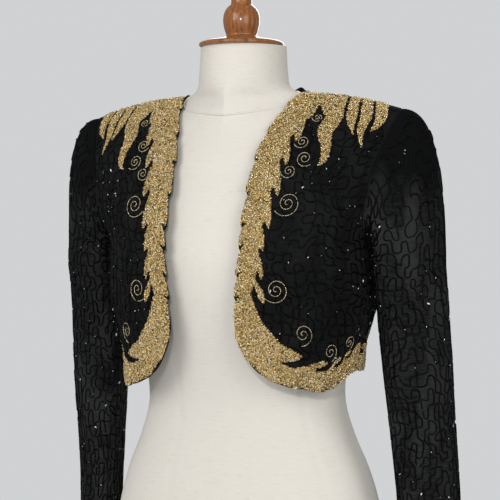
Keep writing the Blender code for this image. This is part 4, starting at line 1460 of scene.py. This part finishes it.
def joined_sides(columns, rows, wraps, rng):
    """Which sides of each cell its two bends join, with no small rings left."""
    state = rng.integers(0, 2, (columns, rows))
    for _ in range(4):
        for i in range(columns if wraps else columns - 1):
            k = (i + 1) % columns
            for j in range(rows - 1):
                ring = (state[i, j], state[k, j], state[i, j + 1], state[k, j + 1])
                if ring == (0, 1, 1, 0):
                    turned = ((i, j), (k, j), (i, j + 1), (k, j + 1))[rng.integers(0, 4)]
                    state[turned] = 1 - state[turned]
    bends = {}
    for i in range(columns):
        east = (i + 1) % columns if wraps else i + 1
        for j in range(rows):
            sides = {
                "west": (("upright", i, j), (i, j + 0.5)),
                "east": (("upright", east, j), (i + 1, j + 0.5)),
                "south": (("level", i, j), (i + 0.5, j)),
                "north": (("level", i, j + 1), (i + 0.5, j + 1)),
            }
            if state[i, j] == 0:
                pairs = (("west", "south"), ("east", "north"))
            else:
                pairs = (("west", "north"), ("east", "south"))
            for one, other in pairs:
                ends = [(sides[one][0], sides[one][1], one), (sides[other][0], sides[other][1], other)]
                bends.setdefault(ends[0][0], []).append(ends)
                bends.setdefault(ends[1][0], []).append(ends[::-1])
    return bends


INTO = {"west": (1.0, 0.0), "east": (-1.0, 0.0), "south": (0.0, 1.0), "north": (0.0, -1.0)}


def one_bend(start, end, shift, swell, steps=5):
    """Points of a smooth bend between two sides of a cell, leaving both squarely."""
    (start_key, start_place, start_side), (end_key, end_place, end_side) = start, end
    p0 = np.array(start_place) + shift[start_key]
    p1 = np.array(end_place) + shift[end_key]
    m0 = np.array(INTO[start_side]) * swell
    m1 = -np.array(INTO[end_side]) * swell
    t = np.linspace(0.0, 1.0, steps + 1)[:-1, None]
    return (p0 * (1 + 2 * t) * (1 - t) ** 2 + m0 * t * (1 - t) ** 2
            + p1 * t * t * (3 - 2 * t) + m1 * t * t * (t - 1)), p1


def joint(way):
    """The two cell sides that a bend joins, the same from either end."""
    return tuple(sorted((way[0][0], way[1][0])))


def sway(waves, turn, along):
    """The sum of a few slow waves, so that the lines don't lie in rows."""
    return sum(size * np.sin(count * turn + slope * along) for size, count, slope in waves)


def wandering_runs(columns, rows, wraps, rng, keep, cell):
    """Long lines that turn to and fro over the cloth, cut where it isn't to be covered."""
    bends = joined_sides(columns, rows, wraps, rng)
    shift = {key: rng.uniform(-LINE_JITTER, LINE_JITTER, 2) for key in sorted(bends)}
    unused = {joint(way) for ways in bends.values() for way in ways}
    starts = sorted(bends, key=lambda key: (len(bends[key]), key))
    runs = []
    for first in starts:
        while True:
            here, offset, pieces, last = first, None, [], None
            while True:
                way = next((way for way in bends[here] if joint(way) in unused), None)
                if way is None:
                    break
                unused.discard(joint(way))
                points, p1 = one_bend(way[0], way[1], shift, BEND * rng.uniform(*BEND_SPREAD))
                offset = 0.0 if last is None else last - points[0, 0]
                offset = round(offset / columns) * columns
                pieces.append(points + (offset, 0.0))
                last = p1[0] + offset
                here = way[1][0]
            if not pieces:
                break
            points = np.concatenate(pieces + [np.array([[last, p1[1]]])])
            turn = 2 * math.pi * points[:, 0] / columns
            swayed = [sway(waves, turn, points[:, 1]) for waves in (LEAN, RISE)]
            flat = (points + np.stack(swayed, axis=1)) * cell
            steps = np.concatenate(([0.0], np.cumsum(np.linalg.norm(np.diff(flat, axis=0), axis=1))))
            wanted = np.arange(0.0, steps[-1], LINE_STEP)
            flat = np.stack([np.interp(wanted, steps, flat[:, k]) for k in (0, 1)], axis=1)
            covered = np.concatenate((keep(flat), [False]))
            begun = None
            for k, ok in enumerate(covered):
                if ok and begun is None:
                    begun = k
                if not ok and begun is not None:
                    if k - begun >= SHORTEST_RUN:
                        runs.append(flat[begun:k])
                    begun = None
    return runs


line_black, shader, tree = plain_finish("black_beads", (0.0015, 0.0015, 0.0018), 0.30)
shader.inputs["Specular IOR Level"].default_value = 0.08
where = node_in(tree, "TexCoord")
facets = node_in(tree, "TexVoronoi", {"Scale": 620.0})
tree.links.new(where.outputs["Object"], facets.inputs["Vector"])
raised(tree, shader, facets.outputs["Distance"], 0.8, 0.0006)
toned(tree, shader, facets.outputs["Distance"], (
    (0.0, (0.0022, 0.0022, 0.0025)),
    (0.7, (0.0006, 0.0006, 0.0008)),
))


def bare_front(flat):
    """Where a front's cloth is left for the black lines."""
    share = front_cloth.share_at(flat[:, 1])
    start = cloth_along_row(edge_angle(share), share, False, 24)
    width = np.interp(flat[:, 1], front_cloth.ups, front_cloth.widths)
    within = (flat[:, 0] > start + EDGE_MARGIN) & (flat[:, 0] < width - SEAM_MARGIN)
    within &= (flat[:, 1] > EDGE_MARGIN) & (flat[:, 1] < front_cloth.top - SEAM_MARGIN)
    return within & (relief(flat, front_leaves) <= 0)


def bare_back(flat):
    """Where the back's cloth is left for the black lines, either side of its centre."""
    across = np.abs(flat[:, 0])
    share = back_cloth.share_at(flat[:, 1])
    width = np.interp(flat[:, 1], back_cloth.ups, back_cloth.widths)
    point = body_point(np.arcsin(np.clip(across / BACK_HALF, 0, 1)), share, True)
    within = (across < width - SEAM_MARGIN) & (flat[:, 1] > EDGE_MARGIN)
    within &= share < neckline_share(point[:, 0]) - NECK_MARGIN
    return within & (relief(np.stack((across, flat[:, 1]), axis=1), back_leaves) <= 0)


def bare_sleeve(flat):
    """The whole sleeve, but for its two ends."""
    return (flat[:, 1] > HEAD_MARGIN) & (flat[:, 1] < sleeve_cloth.length - EDGE_MARGIN)


line_points = {}


def beaded_lines(name, lines):
    """The black lines of one piece, with their points kept for the painted glints."""
    tube_along(f"black_lines_{name}", lines, LINE_RADIUS, line_black)
    line_points[name] = np.concatenate(lines)


FRONT_CELLS = (25, 34)
SLEEVE_GIRTH = 0.27
SLEEVE_CELLS = 30
SLEEVE_STRETCH = 1.15           # the lines run longer down the sleeves
for number, (side, mirror) in enumerate(SIDES):
    rng = np.random.default_rng(301 + number)
    runs = wandering_runs(*FRONT_CELLS, False, rng, bare_front, CELL)
    lines = [front_cloth.place(run[:, 0], run[:, 1], LINE_OUT)[0] * mirror for run in runs]
    beaded_lines(f"front_{side}", lines)

    rng = np.random.default_rng(401 + number)
    scale = np.array((SLEEVE_GIRTH / SLEEVE_CELLS, CELL[1] * SLEEVE_STRETCH))
    rows = int(sleeve_cloth.length / scale[1]) + 2
    runs = wandering_runs(SLEEVE_CELLS, rows, True, rng, bare_sleeve, scale)
    lines = [sleeve_cloth.place(run[:, 0] / SLEEVE_GIRTH, run[:, 1], LINE_OUT)[0] * mirror for run in runs]
    beaded_lines(f"sleeve_{side}", lines)


def back_line(run):
    """Points of a run on the back, which crosses the centre."""
    points = back_cloth.place(np.abs(run[:, 0]), run[:, 1], LINE_OUT)[0]
    points[:, 0] *= np.where(run[:, 0] >= 0, 1.0, -1.0)
    return points


def shifted_back(flat):
    """The back's bare cloth, with the lattice counted from its left end."""
    return bare_back(flat - (middle, 0.0))


BACK_CELLS = (46, 36)
middle = BACK_CELLS[0] * CELL[0] / 2
runs = wandering_runs(*BACK_CELLS, False, np.random.default_rng(501), shifted_back, CELL)
beaded_lines("back", [back_line(run - (middle, 0.0)) for run in runs])

# The painted glints
# Single faceted beads on the black lines, coloured pale grey to white: painted glints of light off the black
# beads.
BRIGHT_COUNTS = {"front_left": 46, "front_right": 46, "back": 90, "sleeve_left": 90, "sleeve_right": 90}
BRIGHT_SIZE = (0.0013, 0.0013, 0.0026)
BRIGHT_OUT = 0.0009
LARGE_SHARE = 0.16
LARGE_SCALE = (1.4, 1.9)
SMALL_SCALE = (0.5, 1.0)
SLEEVE_MIDDLE = np.array((0.214, 0.03, 0.0))
painted_glint, shader, tree = plain_finish("painted_glint_beads", (0.86, 0.87, 0.88), 0.12, 0.35)
shader.inputs["Specular IOR Level"].default_value = 0.9
own = node_in(tree, "Attribute", attribute_name="tone")
toned(tree, shader, own.outputs["Fac"], (
    (0.0, (0.16, 0.16, 0.17)),
    (0.6, (0.62, 0.62, 0.62)),
    (1.0, (0.95, 0.95, 0.93)),
))
bm = bmesh.new()
bmesh.ops.create_icosphere(bm, subdivisions=1, radius=0.5)
BRIGHT_SHAPE = bead_shape(bm, BRIGHT_SIZE)
rng = np.random.default_rng(77)
groups = []
for name, count in BRIGHT_COUNTS.items():
    places = line_points[name][rng.choice(len(line_points[name]), count, replace=False)]
    facing = places * (1, 1, 0) - (0.0, BODY_MIDDLE, 0.0)
    if name.startswith("sleeve"):
        facing = facing - SLEEVE_MIDDLE * (1.0 if name.endswith("left") else -1.0, 1.0, 1.0)
    facing /= np.linalg.norm(facing, axis=1, keepdims=True)
    yaw, tilt, roll = rng.uniform(0, 6, count), rng.normal(0, 0.3, count), rng.uniform(0, 6, count)
    turns = turned_to(facing, yaw, tilt, roll, SIDES[0][1])
    large = rng.random(count) < LARGE_SHARE
    size = np.where(large, rng.uniform(*LARGE_SCALE, count), rng.uniform(*SMALL_SCALE, count))
    tones = rng.uniform(0, 1, count)
    groups.append((BRIGHT_SHAPE, places + facing * BRIGHT_OUT, turns * size[:, None, None], tones))
joined_beads("painted_glint_beads", groups, painted_glint)

bpy.context.view_layer.update()
